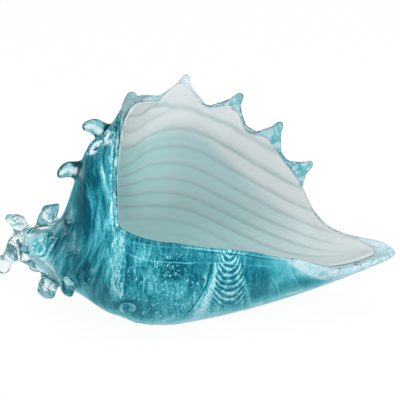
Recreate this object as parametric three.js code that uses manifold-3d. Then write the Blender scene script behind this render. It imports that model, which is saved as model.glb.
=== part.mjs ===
// Conch shell ornament in blown glass: an aqua casing over an opal lining, a clear cap on the spire,
// points drawn out along the lip, and knobs and prunts melted on to the outside.
import * as THREE from "three";
import { mergeVertices } from "three/addons/utils/BufferGeometryUtils.js";
import Module from "manifold-3d";

const wasm = await Module();
wasm.setup();

// Driving dimensions, in millimetres and degrees.
// X runs from the spire to the canal, the mouth faces the front (-Y) and up, and Z is 0 on the ground base.

// Lengths along X, from the apex of the spire to the tip of the canal
const spireLength = 28;
const rampLength = 29;
const mouthToBase = 18;
const baseToTip = 121;

// Radii of the round sections
const spireRadius = 17.5;
const bodyRadius = 45;
const tipRadius = 5;

// Heights of the keel, the lowest line of the body
const baseCut = 3;
const spireKeel = 16;
const apexHeight = 37;
const tipHeight = 37;

// Walls and clearances
const casingWall = 4;
const baseWall = 9;
const tipWall = 1.6;
const liningWall = 1.8;
const liningEdgeWall = 1;
const capWall = 4;
const fusedGap = 0.55;

// Mouth and lip
const mouthBow = 1.5;
const lipBlend = 18;
const lipRise = 34;
const lipSweep = 75;
const rimRound = 0.3;
const tipTaper = 10;
const lipBand = 1.7;
const liningSetBack = 9;

// Ribs on the inner face of the lining
const ribCount = 10;
const ribDepth = 0.5;

// Points along the lip
const pointHeight = 12;
const pointWidth = 25;
const pointTip = 2.5;

// Knobs on the shoulder and prunts on the spire
const knobRadius = 5.3;
const knobHeight = 10;
const pruntRadius = 6.2;
const pruntHeight = 10.5;
const leanWidth = 4.5;

const radians = Math.PI / 180;
const between = (from, to, share) => from + (to - from) * share;

// Places worked out from the driving dimensions
const mouthX = -mouthToBase;
const rampFootX = mouthX - rampLength;
const apexX = rampFootX - spireLength;
const tipX = baseToTip;
const capEdgeX = between(rampFootX, apexX, 0.12);
const noseX = apexX + 0.36 * spireLength;
const noseRound = 0.08 * spireLength;
const hollowX = between(rampFootX, mouthX, 0.3);
const mouthKeel = between(spireKeel, -baseCut, 0.72);
const ribStart = 0.55;

// Small steps that take the slope of the surface, in millimetres and degrees
const nudge = 0.002 * bodyRadius;
const nudgeTurn = 0.05;

const clampShare = (value) => Math.min(1, Math.max(0, value));
const smoothShare = (value) => THREE.MathUtils.smoothstep(value, 0, 1);

// The form of the shell: the round section, the lip and the mouth edges at stations along X.
// radius and centre place the section, rise is how far the lip stands out past it, lip and edge are
// the angles of the rim and of the front edge, counted from the front, under the belly, to the back.
function makeStations() {
  const spire = [
    [0, 0.1, 1],
    [0.07, 0.25, 1],
    [0.25, 0.44, 0.97],
    [0.46, 0.56, 0.82],
    [0.71, 0.75, 0.3],
  ];
  const ramp = [
    [0, 0, 0],
    [0.12, 0.17, 0],
    [0.24, 0.4, 0],
    [0.414, 0.7, 0.03],
    [0.655, 0.86, 0.11],
    [0.88, 0.965, 0.25],
    [1, 0.99, 0.43],
  ];
  const body = [
    [0.067, 1, 0.87, -19, 232],
    [0.138, 1, 1, -17, 226],
    [0.21, 0.98, 1.04, -15.5, 224],
    [0.293, 0.925, 1.05, -13, 223],
    [0.477, 0.77, 0.86, -7.5, 219.5],
    [0.59, 0.645, 0.73, 0, 213],
    [0.651, 0.56, 0.55, 3, 203],
    [0.703, 0.5, 0.33, 12, 186],
    [0.775, 0.42, 0.13, 30, 170],
    [0.846, 0.32, 0.04, 46, 164],
    [0.928, 0.2, 0, 54, 158],
    [1, 0.05, 0, 52, 158],
  ];
  const spireCentre = spireKeel + spireRadius;
  const stations = [];
  for (const [share, size, lift] of spire) {
    const x = between(apexX, rampFootX, share);
    const centre = between(spireCentre, apexHeight, lift);
    stations.push({ x, radius: size * spireRadius, centre, rise: 0, edge: -20, lip: 248 });
  }
  for (const [share, size, lift] of ramp) {
    const x = between(rampFootX, mouthX, share);
    const radius = between(spireRadius, bodyRadius, size);
    const keel = between(spireKeel, mouthKeel, smoothShare(share) ** 1.15);
    stations.push({ x, radius, centre: keel + radius, rise: lift * lipRise, edge: -20, lip: 248 });
  }
  for (const [share, size, lift, edge, lip] of body) {
    const x = between(mouthX, tipX, share);
    const radius = between(tipRadius, bodyRadius, size);
    const toTip = clampShare(x / tipX) ** 1.5;
    const toSpire = clampShare(x / mouthX) ** 2;
    const keel = between(-baseCut, tipHeight - tipRadius, toTip) + (mouthKeel + baseCut) * toSpire;
    stations.push({ x, radius, centre: keel + radius, rise: lift * lipRise, edge, lip });
  }
  return stations;
}

const stations = makeStations();
const formKeys = ["radius", "centre", "rise", "edge", "lip"];
const formTrack = new THREE.CubicInterpolant(
  stations.map((station) => station.x),
  stations.flatMap((station) => formKeys.map((key) => station[key])),
  formKeys.length,
);

// Section of the shell at one place along X
function formAt(x) {
  const values = Array.from(formTrack.evaluate(x));
  return Object.fromEntries(formKeys.map((key, index) => [key, values[index]]));
}

// Outer surface of the whole shell, closed all round; angle 0 is the front, 90 the keel, 180 the back.
// Towards the rim of the lip the round section swells into a flare; depth is taken off the radius.
function surface(x, angle, depth = 0) {
  const form = formAt(x);
  const turn = THREE.MathUtils.euclideanModulo(angle - form.lip + 180, 360) - 180;
  const nearRim = clampShare(1 - Math.abs(turn) / lipSweep);
  const open = smoothShare((x - mouthX) / lipBlend);
  const roundRim = nearRim ** 4 * (5 - 4 * nearRim);
  const flare = between(roundRim, nearRim ** 3, turn < 0 ? open : 0);
  const radius = form.radius + form.rise * flare - depth;
  const y = -radius * Math.cos(angle * radians);
  const z = form.centre - radius * Math.sin(angle * radians);
  return new THREE.Vector3(x, y, z);
}

// Outward normal of that surface
function normalAt(x, angle) {
  const along = surface(x + nudge, angle).sub(surface(x - nudge, angle));
  const around = surface(x, angle + nudgeTurn).sub(surface(x, angle - nudgeTurn));
  return along.cross(around).normalize().negate();
}

const inset = (x, angle, depth) => surface(x, angle).addScaledVector(normalAt(x, angle), -depth);

// Wall of the casing: thick under the belly, thin towards the tip of the canal
function casingDepth(x, angle) {
  const form = formAt(x);
  const fullness = clampShare((form.radius - tipRadius) / (0.4 * bodyRadius));
  const underBelly = Math.max(0, Math.sin(angle * radians)) ** 3 * smoothShare(fullness);
  return between(tipWall, casingWall, fullness) + (baseWall - casingWall) * underBelly;
}

// Angles of the front edge and the rim of a wall, less its set-back along the wall.
// The canal closes in a round tip within tipTaper.
function mouthAngles(x, { endX, setBack }) {
  const form = formAt(x);
  const shrink = setBack / radians / (form.radius + form.rise);
  const closing = clampShare((endX - x) / tipTaper);
  const width = Math.sqrt(1 - (1 - closing) ** 2);
  const keel = (form.edge + form.lip) / 2;
  return { edge: between(keel, form.edge + shrink, width), rim: between(keel, form.lip - shrink, width) };
}

const geometryFrom = (corners) => {
  const geometry = new THREE.BufferGeometry();
  const values = corners.flatMap((corner) => [corner.x, corner.y, corner.z]);
  geometry.setAttribute("position", new THREE.Float32BufferAttribute(values, 3));
  return geometry;
};

// Four-sided patch as triangles, leaving out any triangle that has shrunk to nothing
function addPatch(corners, a, b, c, d) {
  const apart = (p, q) => p.distanceToSquared(q) > 1e-8;
  if (apart(a, b) && apart(b, c) && apart(a, c)) corners.push(a, b, c);
  if (apart(a, c) && apart(c, d) && apart(a, d)) corners.push(a, c, d);
}

// Skin over rows of points
function addSkin(corners, rows, facingOut) {
  for (let i = 0; i + 1 < rows.length; i++) {
    const count = Math.min(rows[i].length, rows[i + 1].length);
    for (let j = 0; j + 1 < count; j++) {
      const patch = [rows[i][j], rows[i][j + 1], rows[i + 1][j + 1], rows[i + 1][j]];
      addPatch(corners, ...(facingOut ? patch : patch.reverse()));
    }
  }
}

// The two walls of the mouth: where each opens and ends along X, and how far it keeps back from the rim
const casingMouth = { leftX: mouthX, endX: tipX, setBack: 0 };
const liningMouth = { leftX: mouthX - lipBand, endX: tipX - liningSetBack, setBack: lipBand };

// Evenly spaced values from one number to another, both included
const spread = (from, to, steps) => (
  Array.from({ length: steps + 1 }, (_, k) => between(from, to, k / steps))
);

// Shares of a row from the front edge to the rim: plain under the belly, then two to each rib
const plainTurns = spread(0, ribStart, 9);
const ribTurns = spread(ribStart, 1, 2 * ribCount).slice(1);
const wallTurns = [...plainTurns, ...ribTurns];

// Rows of points from the front edge, under the belly, to the rim. Up to the left edge of the mouth the wall
// goes on over the top and closes the row to a ring; the left edge bows away from the mouth there.
function skinRows(places, mouth, pointAt) {
  return places.map((x) => {
    const { edge, rim } = mouthAngles(x, mouth);
    const row = wallTurns.map((share) => pointAt(x, between(edge, rim, share), share));
    if (x - mouth.leftX > 1e-6) return row;
    const nearMouth = smoothShare((x - rampFootX) / (mouth.leftX - rampFootX));
    for (const share of spread(0, 1, 10).slice(1, -1)) {
      const bow = mouthBow * nearMouth * Math.sin(Math.PI * share);
      row.push(pointAt(x - bow, between(rim, edge + 360, share), 0));
    }
    return [...row, row[0].clone()];
  });
}

// Places spread evenly along the rim, shared by both walls of the mouth
const rimPoint = (x, back = 0) => surface(x, mouthAngles(x, casingMouth).rim - back);
const rimLine = new THREE.CatmullRomCurve3(spread(mouthX, tipX - tipTaper, 60).map((x) => rimPoint(x)));
const rimPlaces = rimLine.getSpacedPoints(26).map((point) => point.x);

// Places of the open rows of one wall, close together at the tip
function mouthPlaces({ leftX, endX }) {
  const tipStart = endX - tipTaper;
  const along = rimPlaces.filter((x) => x > leftX + fusedGap && x < tipStart - fusedGap);
  const tip = spread(0, 80, 4).map((turn) => between(tipStart, endX, Math.sin(turn * radians)));
  return [...along, ...tip];
}

// Row that has shrunk to one point: the middle of its neighbour, moved along X
function poleRow(row, shift) {
  const pole = new THREE.Vector3();
  row.slice(1).forEach((point) => pole.add(point));
  pole.divideScalar(row.length - 1);
  pole.x += shift;
  return row.map(() => pole.clone());
}

// What is left of a direction square to another one
function squareTo(direction, line) {
  const unit = line.clone().normalize();
  return direction.clone().addScaledVector(unit, -direction.dot(unit)).normalize();
}

// Crest of the rounded edge between an outside and an inside point
function crestBetween(outside, inside, away) {
  const crest = outside.clone().add(inside).multiplyScalar(0.5);
  return crest.addScaledVector(away, rimRound * outside.distanceTo(inside));
}

// Rounded edge all round the mouth. The first row is the ring at its left edge, and before is the ring
// next to it.
function addRim(corners, before, outer, inner) {
  const last = outer.length - 1;
  const end = outer[last].length - 1;
  const stops = [{ i: 0, j: 0, from: before[1] }];
  for (let i = 1; i <= last; i++) stops.push({ i, j: 0, from: outer[i][1] });
  for (let j = 1; j < end; j++) stops.push({ i: last, j, from: outer[last - 1][j] });
  for (let i = last; i > 0; i--) stops.push({ i, j: end, from: outer[i][end - 1] });
  stops.push({ i: 0, j: end, from: before[end - 1] });
  for (let j = end + 1; j + 1 < before.length; j++) stops.push({ i: 0, j, from: before[j] });
  const count = stops.length;
  const loops = stops.map(({ i, j, from }, k) => {
    const next = stops[(k + 1) % count];
    const previous = stops[(k + count - 1) % count];
    const along = outer[next.i][next.j].clone().sub(outer[previous.i][previous.j]);
    const away = squareTo(outer[i][j].clone().sub(from), along);
    return [outer[i][j], crestBetween(outer[i][j], inner[i][j], away), inner[i][j]];
  });
  addSkin(corners, [...loops, loops[0]], false);
}

const asManifold = (geometry) => {
  const welded = mergeVertices(geometry, 1e-4);
  const vertProperties = Float32Array.from(welded.attributes.position.array);
  const triVerts = Uint32Array.from(welded.index.array);
  return new wasm.Manifold(new wasm.Mesh({ numProp: 3, vertProperties, triVerts }));
};

const asGeometry = (solid) => {
  const { numProp, vertProperties, triVerts } = solid.getMesh();
  const corners = Array.from(triVerts, (vertex) => (
    new THREE.Vector3().fromArray(vertProperties, vertex * numProp)
  ));
  return geometryFrom(corners);
};

const casingInside = (x, angle) => inset(x, angle, casingDepth(x, angle));

// The casing: nose under the cap, step at the cap's edge, ramp, then the open body and canal.
// The flat base is ground off the belly.
function makeCasing() {
  const places = mouthPlaces(casingMouth);
  const noseSkin = (x, angle) => surface(x, angle, capWall + fusedGap);
  const nose = skinRows(spread(noseX, capEdgeX, 4), casingMouth, noseSkin);
  const ramp = skinRows(spread(capEdgeX, mouthX, 10), casingMouth, (x, a) => surface(x, a));
  const outerMouth = skinRows(places, casingMouth, (x, a) => surface(x, a));
  const hollow = skinRows(spread(hollowX, mouthX, 5), casingMouth, casingInside);
  const innerMouth = skinRows(places, casingMouth, casingInside);

  const corners = [];
  addSkin(corners, [poleRow(nose[0], -noseRound), ...nose, ...ramp, ...outerMouth], true);
  addSkin(corners, [poleRow(hollow[0], 0), ...hollow, ...innerMouth], false);
  addRim(corners, ramp.at(-2), [ramp.at(-1), ...outerMouth], [hollow.at(-1), ...innerMouth]);

  const ground = new THREE.BoxGeometry(4 * tipX, 8 * bodyRadius, bodyRadius);
  ground.deleteAttribute("normal");
  ground.deleteAttribute("uv");
  ground.translate(0, 0, -bodyRadius / 2);
  return asGeometry(asManifold(geometryFrom(corners)).subtract(asManifold(ground)));
}

// The lining: the same mouth kept back from the rim, with ribs on the inner face from the belly to the lip
function makeLining() {
  const places = mouthPlaces(liningMouth);
  const outside = (x, angle) => inset(x, angle, casingDepth(x, angle) + fusedGap);
  const inside = (x, angle, share) => {
    const fullness = clampShare(formAt(x).radius / bodyRadius);
    const wall = between(liningEdgeWall, liningWall, fullness);
    const groove = ribTurns.indexOf(share) % 2 === 0 ? ribDepth * fullness : 0;
    return inset(x, angle, casingDepth(x, angle) + fusedGap + wall - groove);
  };
  const hollowPlaces = spread(hollowX, liningMouth.leftX, 5);
  const outerHollow = skinRows(hollowPlaces, liningMouth, outside);
  const innerHollow = skinRows(hollowPlaces, liningMouth, inside);
  const outerMouth = skinRows(places, liningMouth, outside);
  const innerMouth = skinRows(places, liningMouth, inside);

  const corners = [];
  addSkin(corners, [poleRow(outerHollow[0], fusedGap), ...outerHollow, ...outerMouth], true);
  addSkin(corners, [poleRow(innerHollow[0], fusedGap), ...innerHollow, ...innerMouth], false);
  const outerEdge = [outerHollow.at(-1), ...outerMouth];
  const innerEdge = [innerHollow.at(-1), ...innerMouth];
  addRim(corners, outerHollow.at(-2), outerEdge, innerEdge);
  return geometryFrom(corners);
}

// The clear cap: a thimble over the nose of the casing
function makeCap() {
  const capEnd = capEdgeX - fusedGap;
  const outside = spread(0, 1, 9).slice(1).map((share) => between(apexX, capEnd, share ** 1.6));
  const outer = skinRows(outside, casingMouth, (x, a) => surface(x, a));
  const inner = skinRows(spread(noseX, capEnd, 4), casingMouth, (x, a) => surface(x, a, capWall));
  const corners = [];
  addSkin(corners, [poleRow(outer[0], apexX - outside[0]), ...outer], true);
  addSkin(corners, [poleRow(inner[0], -noseRound - fusedGap), ...inner], false);
  addSkin(corners, [outer.at(-1), inner.at(-1)], true);
  return geometryFrom(corners);
}

// Solid of rings between a first and a last point
function ringSolid(first, rings, last) {
  const corners = [];
  const ends = [first, last].map((point) => rings[0].map(() => point.clone()));
  addSkin(corners, [ends[0], ...rings, ends[1]], true);
  return geometryFrom(corners);
}

// Frame on the crest of the rim: away from the mouth, across the wall, and how thick the wall is
function rimFrame(x) {
  const outside = rimPoint(x);
  const inside = casingInside(x, mouthAngles(x, casingMouth).rim);
  const along = rimPoint(x + nudge).sub(rimPoint(x - nudge));
  const away = squareTo(outside.clone().sub(rimPoint(x, 1)), along);
  const across = outside.clone().sub(inside);
  const wall = across.length();
  return { crest: crestBetween(outside, inside, away), away, across: across.normalize(), wall };
}

// A point of the lip: a tent of glass that follows the rim at its foot and ends in a rounded tip,
// which sways along the rim
function makePoint(x, [wide, tall, sway]) {
  const pitch = rimFrame(x + nudge).crest.distanceTo(rimFrame(x - nudge).crest) / (2 * nudge);
  const middle = rimFrame(x);
  const height = tall * pointHeight;
  const swayAt = (lift) => sway * (lift / height) ** 2;
  const profile = spread(0, 1, 5).map((share) => ({
    half: between(wide * pointWidth / 2, pointTip, 1 - (1 - share) ** 1.8),
    thick: between(middle.wall / 2, pointTip, share),
    lift: share * (height - pointTip),
    follow: 1 - share,
  }));
  for (const turn of [40, 72]) {
    const tip = pointTip * Math.cos(turn * radians);
    const lift = height - pointTip * (1 - Math.sin(turn * radians));
    profile.push({ half: tip, thick: tip, lift, follow: 0 });
  }
  const rings = profile.map(({ half, thick, lift, follow }) => spread(0, 360, 14).map((turn) => {
    const side = half * Math.cos(turn * radians) + swayAt(lift);
    const foot = rimFrame(x + side / pitch);
    const away = middle.away.clone().lerp(foot.away, follow).normalize();
    return foot.crest.clone()
      .addScaledVector(away, lift + fusedGap)
      .addScaledVector(middle.across, thick * Math.sin(turn * radians));
  }));
  const onCrest = (lift) => (
    rimFrame(x + swayAt(lift) / pitch).crest.addScaledVector(middle.away, lift + fusedGap)
  );
  return ringSolid(onCrest(0), rings, onCrest(height));
}

// A blob of glass seated on the outer surface: a foot that follows the surface, a waist and a round head
// that leans over to one side
function makeBlob(x, angle, radius, height, leanTurn) {
  const seat = surface(x, angle);
  const up = normalAt(x, angle);
  const along = surface(x + nudge, angle).sub(surface(x - nudge, angle)).divideScalar(2 * nudge);
  const around = surface(x, angle + nudgeTurn).sub(surface(x, angle - nudgeTurn));
  around.divideScalar(2 * nudgeTurn);
  const side = along.clone().normalize();
  const front = up.clone().cross(side);
  const ring = (wide, place) => spread(0, 360, 9).map((turn) => (
    place(wide * radius * Math.cos(turn * radians), wide * radius * Math.sin(turn * radians))
  ));
  const foot = (right, ahead) => (
    inset(x + right / along.length(), angle - ahead / around.length(), -fusedGap)
  );
  const raised = (tall, right = 0, ahead = 0) => {
    const lean = leanWidth * tall ** 2;
    return seat.clone()
      .addScaledVector(up, fusedGap + tall * height)
      .addScaledVector(side, right + lean * Math.cos(leanTurn * radians))
      .addScaledVector(front, ahead + lean * Math.sin(leanTurn * radians));
  };
  const head = blobHead.map(([wide, tall]) => ring(wide, (right, ahead) => raised(tall, right, ahead)));
  return ringSolid(raised(0), [ring(0.6, foot), ring(1, foot), ...head], raised(1));
}

// Head of a knob or prunt: width against its radius, height against its whole height
const blobHead = [
  [0.9, 0.16],
  [0.76, 0.36],
  [0.88, 0.6],
  [0.8, 0.82],
  [0.44, 0.97],
];

const finishes = {
  aqua: { color: 0x2f94a6, roughness: 0.06, metalness: 0 },
  opal: { color: 0xc3d2d4, roughness: 0.18, metalness: 0 },
  clear: { color: 0xcfe6ea, roughness: 0.04, metalness: 0 },
};

const shell = new THREE.Group();
shell.name = "conch_shell";

function addPiece(name, geometry, finish) {
  const mesh = new THREE.Mesh(geometry, new THREE.MeshStandardMaterial(finishes[finish]));
  mesh.name = name;
  shell.add(mesh);
}

addPiece("aqua_casing", makeCasing(), "aqua");
addPiece("opal_lining", makeLining(), "opal");
addPiece("clear_spire_cap", makeCap(), "clear");

// Points of the lip: place along the mouth, and the width, height and sway in shares and millimetres
const lipPoints = [
  [0.02, [0.54, 0.66, -2]],
  [0.222, [1.08, 1.04, 1]],
  [0.395, [0.96, 1.15, 2]],
  [0.545, [0.74, 0.95, 0]],
  [0.641, [0.74, 0.9, 0]],
];
lipPoints.forEach(([share, form], index) => {
  addPiece(`lip_point_${index + 1}`, makePoint(between(mouthX, tipX, share), form), "aqua");
});

// Shoulder knobs: place along the ramp, angle, size and the turn that each leans to
const shoulderKnobs = [
  [0.738, 250, 1.1, 180],
  [0.3, 266, 1.05, 180],
  [0.26, 335, 0.6, 90],
  [0.45, 20, 0.6, 0],
  [1.16, 37, 0.6, 90],
  [0.53, 200, 1, 90],
  [0.44, 145, 0.9, 0],
  [0.55, 275, 0.55, 0],
  [0.8, 272, 0.52, 0],
];

// Prunts: place along the spire from its foot, angle, size and the turn that each leans to
const spirePrunts = [
  [0.26, 255, 1.02, 0],
  [0.16, 319, 0.55, 90],
  [0.39, 338, 0.8, 200],
  [0.18, 54, 1, 70],
  [-0.25, 30, 0.95, 340],
  [0.22, 205, 0.9, 0],
  [0.25, 145, 0.9, 120],
];
const apexPrunts = [
  [0.7, 262, 0.98, 180],
  [0.9, 40, 0.95, 250],
  [0.72, 170, 0.8, 60],
];

// Seats one set of blobs between two places along X
function addBlobs(prefix, blobs, [fromX, toX], [radius, height], finish) {
  blobs.forEach(([share, angle, size, leanTurn], index) => {
    const blob = makeBlob(between(fromX, toX, share), angle, size * radius, size * height, leanTurn);
    addPiece(`${prefix}_${index + 1}`, blob, finish);
  });
}
addBlobs("shoulder_knob", shoulderKnobs, [rampFootX, mouthX], [knobRadius, knobHeight], "aqua");
addBlobs("spire_prunt", spirePrunts, [rampFootX, apexX], [pruntRadius, pruntHeight], "clear");
addBlobs("apex_prunt", apexPrunts, [rampFootX, apexX], [pruntRadius, pruntHeight], "clear");

export default shell;
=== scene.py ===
"""Dresses the blown glass conch shell ornament and sets it up for its studio picture."""

import logging
import math
from collections.abc import Iterable, Sequence
from dataclasses import dataclass, field
from enum import Enum
from typing import Any

import bmesh
import bpy
from mathutils import Matrix, Vector, noise
from mathutils.bvhtree import BVHTree


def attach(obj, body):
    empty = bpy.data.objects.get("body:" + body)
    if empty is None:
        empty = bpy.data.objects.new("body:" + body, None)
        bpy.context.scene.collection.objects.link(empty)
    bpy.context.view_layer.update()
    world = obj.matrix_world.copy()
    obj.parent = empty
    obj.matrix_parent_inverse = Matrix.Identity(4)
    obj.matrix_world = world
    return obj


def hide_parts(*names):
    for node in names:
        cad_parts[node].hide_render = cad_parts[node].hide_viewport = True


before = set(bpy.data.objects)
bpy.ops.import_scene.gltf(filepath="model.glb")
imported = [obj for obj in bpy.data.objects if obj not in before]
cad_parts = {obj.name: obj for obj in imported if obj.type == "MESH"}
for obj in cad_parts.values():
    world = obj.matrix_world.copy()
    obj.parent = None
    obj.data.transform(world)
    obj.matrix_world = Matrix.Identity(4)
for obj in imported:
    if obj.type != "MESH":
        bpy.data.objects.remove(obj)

LOG = logging.getLogger("conch_shell")
MM = 0.001
AXIS_HEIGHT = 42 * MM
LIP_ANGLE = 120.0
SEAM_ANGLE = 100.0
CANAL = (50 * MM, 85 * MM)
ROUNDING = 2
MERGE_DISTANCE = 0.002 * MM
FLAT_ANGLE = math.radians(60)
SQUARE_ANGLE = math.radians(70)
WHITE = (1.0, 1.0, 1.0, 1.0)

Number = float | int
Colour = tuple[float, float, float]
Span = tuple[float, float]
Table = tuple[tuple[float, float], ...]


def polar_angle(point: Vector) -> float:
    """Angle round the shell's axis in degrees: 0 at the front, 90 under the belly, 180 at the back.

    Args:
        point: A place on the shell, in metres.

    Returns:
        The angle, from -90 at the top of the mouth to 270.
    """
    angle = math.degrees(math.atan2(AXIS_HEIGHT - point.z, -point.y))
    return angle + 360 if angle < -90 else angle


def graded(table: Sequence[tuple[float, float]], place: float) -> float:
    """Value between the neighbouring entries of a table.

    Args:
        table: Places with their values, in order; beyond the ends the value stays.
        place: Where it is read.

    Returns:
        The value.
    """
    for (low, first), (high, second) in zip(table, table[1:]):
        if place <= high:
            return first + (second - first) * max(0.0, (place - low) / (high - low))
    return table[-1][1]


def limited(value: float) -> float:
    """A value kept between 0 and 1."""
    return min(1.0, max(0.0, value))


def canal_share(x: float) -> float:
    """How far a place lies along the canal: 0 where it starts, 1 near its tip."""
    start, end = CANAL
    return limited((x - start) / (end - start))


class Slot(Enum):
    """Material slots of the record."""

    AQUA = "aqua_glass"
    OPAL = "opal_glass"


@dataclass(frozen=True)
class Wire:
    """A shader socket that takes part in Python expressions."""

    graph: "Graph"
    socket: bpy.types.NodeSocket

    def __add__(self, other: "Wire | Number") -> "Wire":
        """This value plus another."""
        return self.graph.maths("ADD", self, other)

    def __radd__(self, other: Number) -> "Wire":
        """A number plus this value."""
        return self.graph.maths("ADD", other, self)

    def __sub__(self, other: "Wire | Number") -> "Wire":
        """This value less another."""
        return self.graph.maths("SUBTRACT", self, other)

    def __rsub__(self, other: Number) -> "Wire":
        """A number less this value."""
        return self.graph.maths("SUBTRACT", other, self)

    def __mul__(self, other: "Wire | Number") -> "Wire":
        """This value times another."""
        return self.graph.maths("MULTIPLY", self, other)

    def __rmul__(self, other: Number) -> "Wire":
        """A number times this value."""
        return self.graph.maths("MULTIPLY", other, self)

    def __truediv__(self, other: "Wire | Number") -> "Wire":
        """This value over another."""
        return self.graph.maths("DIVIDE", self, other)

    def __rtruediv__(self, other: Number) -> "Wire":
        """A number over this value."""
        return self.graph.maths("DIVIDE", other, self)

    def __neg__(self) -> "Wire":
        """This value with its sign turned."""
        return self.graph.maths("MULTIPLY", self, -1)

    def __abs__(self) -> "Wire":
        """This value without its sign."""
        return self.graph.maths("ABSOLUTE", self)


class Graph:
    """Node tree of a material or the world, with one method that adds any node."""

    FLECK_CORE = 0.4
    FLECK_FADE = 0.06

    def __init__(self, owner: str | bpy.types.World) -> None:
        """Starts an empty node tree.

        Args:
            owner: Name of a new material, or the world that is dressed.
        """
        self.owner = bpy.data.materials.new(owner) if isinstance(owner, str) else owner
        self.owner.use_nodes = True
        self.tree = self.owner.node_tree
        self.tree.nodes.clear()

    def node(self, kind: str, settings: dict[str, Any], sockets: dict[str | int, Any]) -> bpy.types.Node:
        """Adds a node.

        Args:
            kind: The node's type.
            settings: Properties that are set first; "stops" fills a colour ramp.
            sockets: Values or wires of its inputs, by name or number.

        Returns:
            The new node.
        """
        made = self.tree.nodes.new(kind)
        for key, value in settings.items():
            if key == "stops":
                self.fill_ramp(made.color_ramp, value)
            else:
                setattr(made, key, value)
        for key, value in sockets.items():
            if isinstance(value, Wire):
                self.tree.links.new(value.socket, made.inputs[key])
            else:
                made.inputs[key].default_value = value
        return made

    def fill_ramp(self, ramp: bpy.types.ColorRamp, tones: Iterable[tuple[float, Colour]]) -> None:
        """Sets the stops of a colour ramp.

        Args:
            ramp: The ramp.
            tones: Values from 0 to 1, in order, with the colours there.
        """
        stops = ramp.elements
        for number, (place, colour) in enumerate(tones):
            stop = stops[number] if number < len(stops) else stops.new(place)
            stop.position = place
            stop.color = (*colour, 1.0)

    def wire(self, made: bpy.types.Node, output: str | int = 0) -> Wire:
        """One output of a node as a wire."""
        return Wire(self, made.outputs[output])

    def maths(self, operation: str, *values: Wire | Number) -> Wire:
        """A Math node on values or wires."""
        return self.wire(self.node("ShaderNodeMath", {"operation": operation}, dict(enumerate(values))))

    def step(self, value: Wire, low: Number, high: Number) -> Wire:
        """Soft step of a value.

        Args:
            value: What is stepped.
            low: Where the step is 0.
            high: Where the step is 1; it may be the smaller one.

        Returns:
            A wire from 0 to 1.
        """
        flip = low > high
        ends = {"From Min": min(low, high), "From Max": max(low, high)}
        span = {"To Min": 1.0 if flip else 0.0, "To Max": 0.0 if flip else 1.0}
        settings = {"interpolation_type": "SMOOTHSTEP"}
        return self.wire(self.node("ShaderNodeMapRange", settings, {"Value": value, **ends, **span}))

    def bump_at(self, value: Wire, middle: Wire | Number, half: Number) -> Wire:
        """A soft band: 1 where a value meets its middle, 0 from half away on."""
        return self.step(abs(value - middle), half, 0)

    def mix(self, share: Wire, first: Colour | Wire, second: Colour | Wire) -> Wire:
        """Colour between two colours.

        Args:
            share: 0 for the first colour, 1 for the second.
            first: Colour at 0.
            second: Colour at 1.

        Returns:
            The mixed colour.
        """
        ends = [c if isinstance(c, Wire) else (*c, 1.0) for c in (first, second)]
        settings = {"data_type": "RGBA", "clamp_factor": True}
        made = self.node("ShaderNodeMix", settings, {0: share, 6: ends[0], 7: ends[1]})
        return self.wire(made, 2)

    def vector(self, x: Wire | Number, y: Wire | Number, z: Wire | Number) -> Wire:
        """A vector of three values."""
        return self.wire(self.node("ShaderNodeCombineXYZ", {}, {0: x, 1: y, 2: z}))

    def blend(self, share: Wire, first: Wire | Number, second: Wire | Number) -> Wire:
        """Value between two values: the first one at share 0, the second one at share 1."""
        return first + share * (second - first)

    def ramp(self, value: Wire, tones: Iterable[tuple[float, Colour]]) -> Wire:
        """Colour that follows a value, by tones from 0 to 1."""
        return self.wire(self.node("ShaderNodeValToRGB", {"stops": tones}, {0: value}))

    def strewn(self, place: Wire, scale: Number, share: Wire, size: Number) -> Wire:
        """Round flecks strewn over a plane.

        Args:
            place: Where it is read.
            scale: How many cells there are to one unit; each holds one fleck or none.
            share: Share of the cells that hold one.
            size: Radius of a fleck, as a share of its cell.

        Returns:
            1 in the middle of a fleck, 0 between them.
        """
        cells = self.node("ShaderNodeTexVoronoi", {"voronoi_dimensions": "2D"}, {0: place, "Scale": scale})
        chance = self.wire(self.node("ShaderNodeSeparateColor", {}, {0: self.wire(cells, "Color")}))
        fleck = self.step(self.wire(cells, "Distance"), size, size * self.FLECK_CORE)
        return fleck * self.step(share - chance, 0, self.FLECK_FADE)

    def place(self) -> Wire:
        """Object coordinates, in metres."""
        return self.wire(self.node("ShaderNodeTexCoord", {}, {}), "Object")

    def attribute(self, name: str) -> Wire:
        """A value that is stored on the mesh."""
        return self.wire(self.node("ShaderNodeAttribute", {"attribute_name": name}, {}), "Fac")

    def axes(self, place: Wire) -> list[Wire]:
        """The three coordinates of a place, in millimetres."""
        parts = self.node("ShaderNodeSeparateXYZ", {}, {0: place})
        return [self.wire(parts, k) * (1 / MM) for k in range(3)]

    def angle(self, y: Wire, z: Wire) -> Wire:
        """Angle round the shell's axis in degrees, from -80 to 280, with its seam in the open mouth.

        Args:
            y: Place across the shell, in millimetres.
            z: Height, in millimetres.

        Returns:
            0 at the front, 90 under the belly, 180 at the back.
        """
        seam = math.radians(SEAM_ANGLE)
        front, down = -y, AXIS_HEIGHT / MM - z
        turned_x = front * math.cos(seam) + down * math.sin(seam)
        turned_y = down * math.cos(seam) - front * math.sin(seam)
        return self.maths("ARCTAN2", turned_y, turned_x) * math.degrees(1) + SEAM_ANGLE

    def finish(self, surface: bpy.types.Node, output: str = "ShaderNodeOutputMaterial") -> bpy.types.ID:
        """Closes the node tree with its surface shader and returns the material or the world."""
        self.node(output, {}, {"Surface": self.wire(surface)})
        return self.owner


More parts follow.
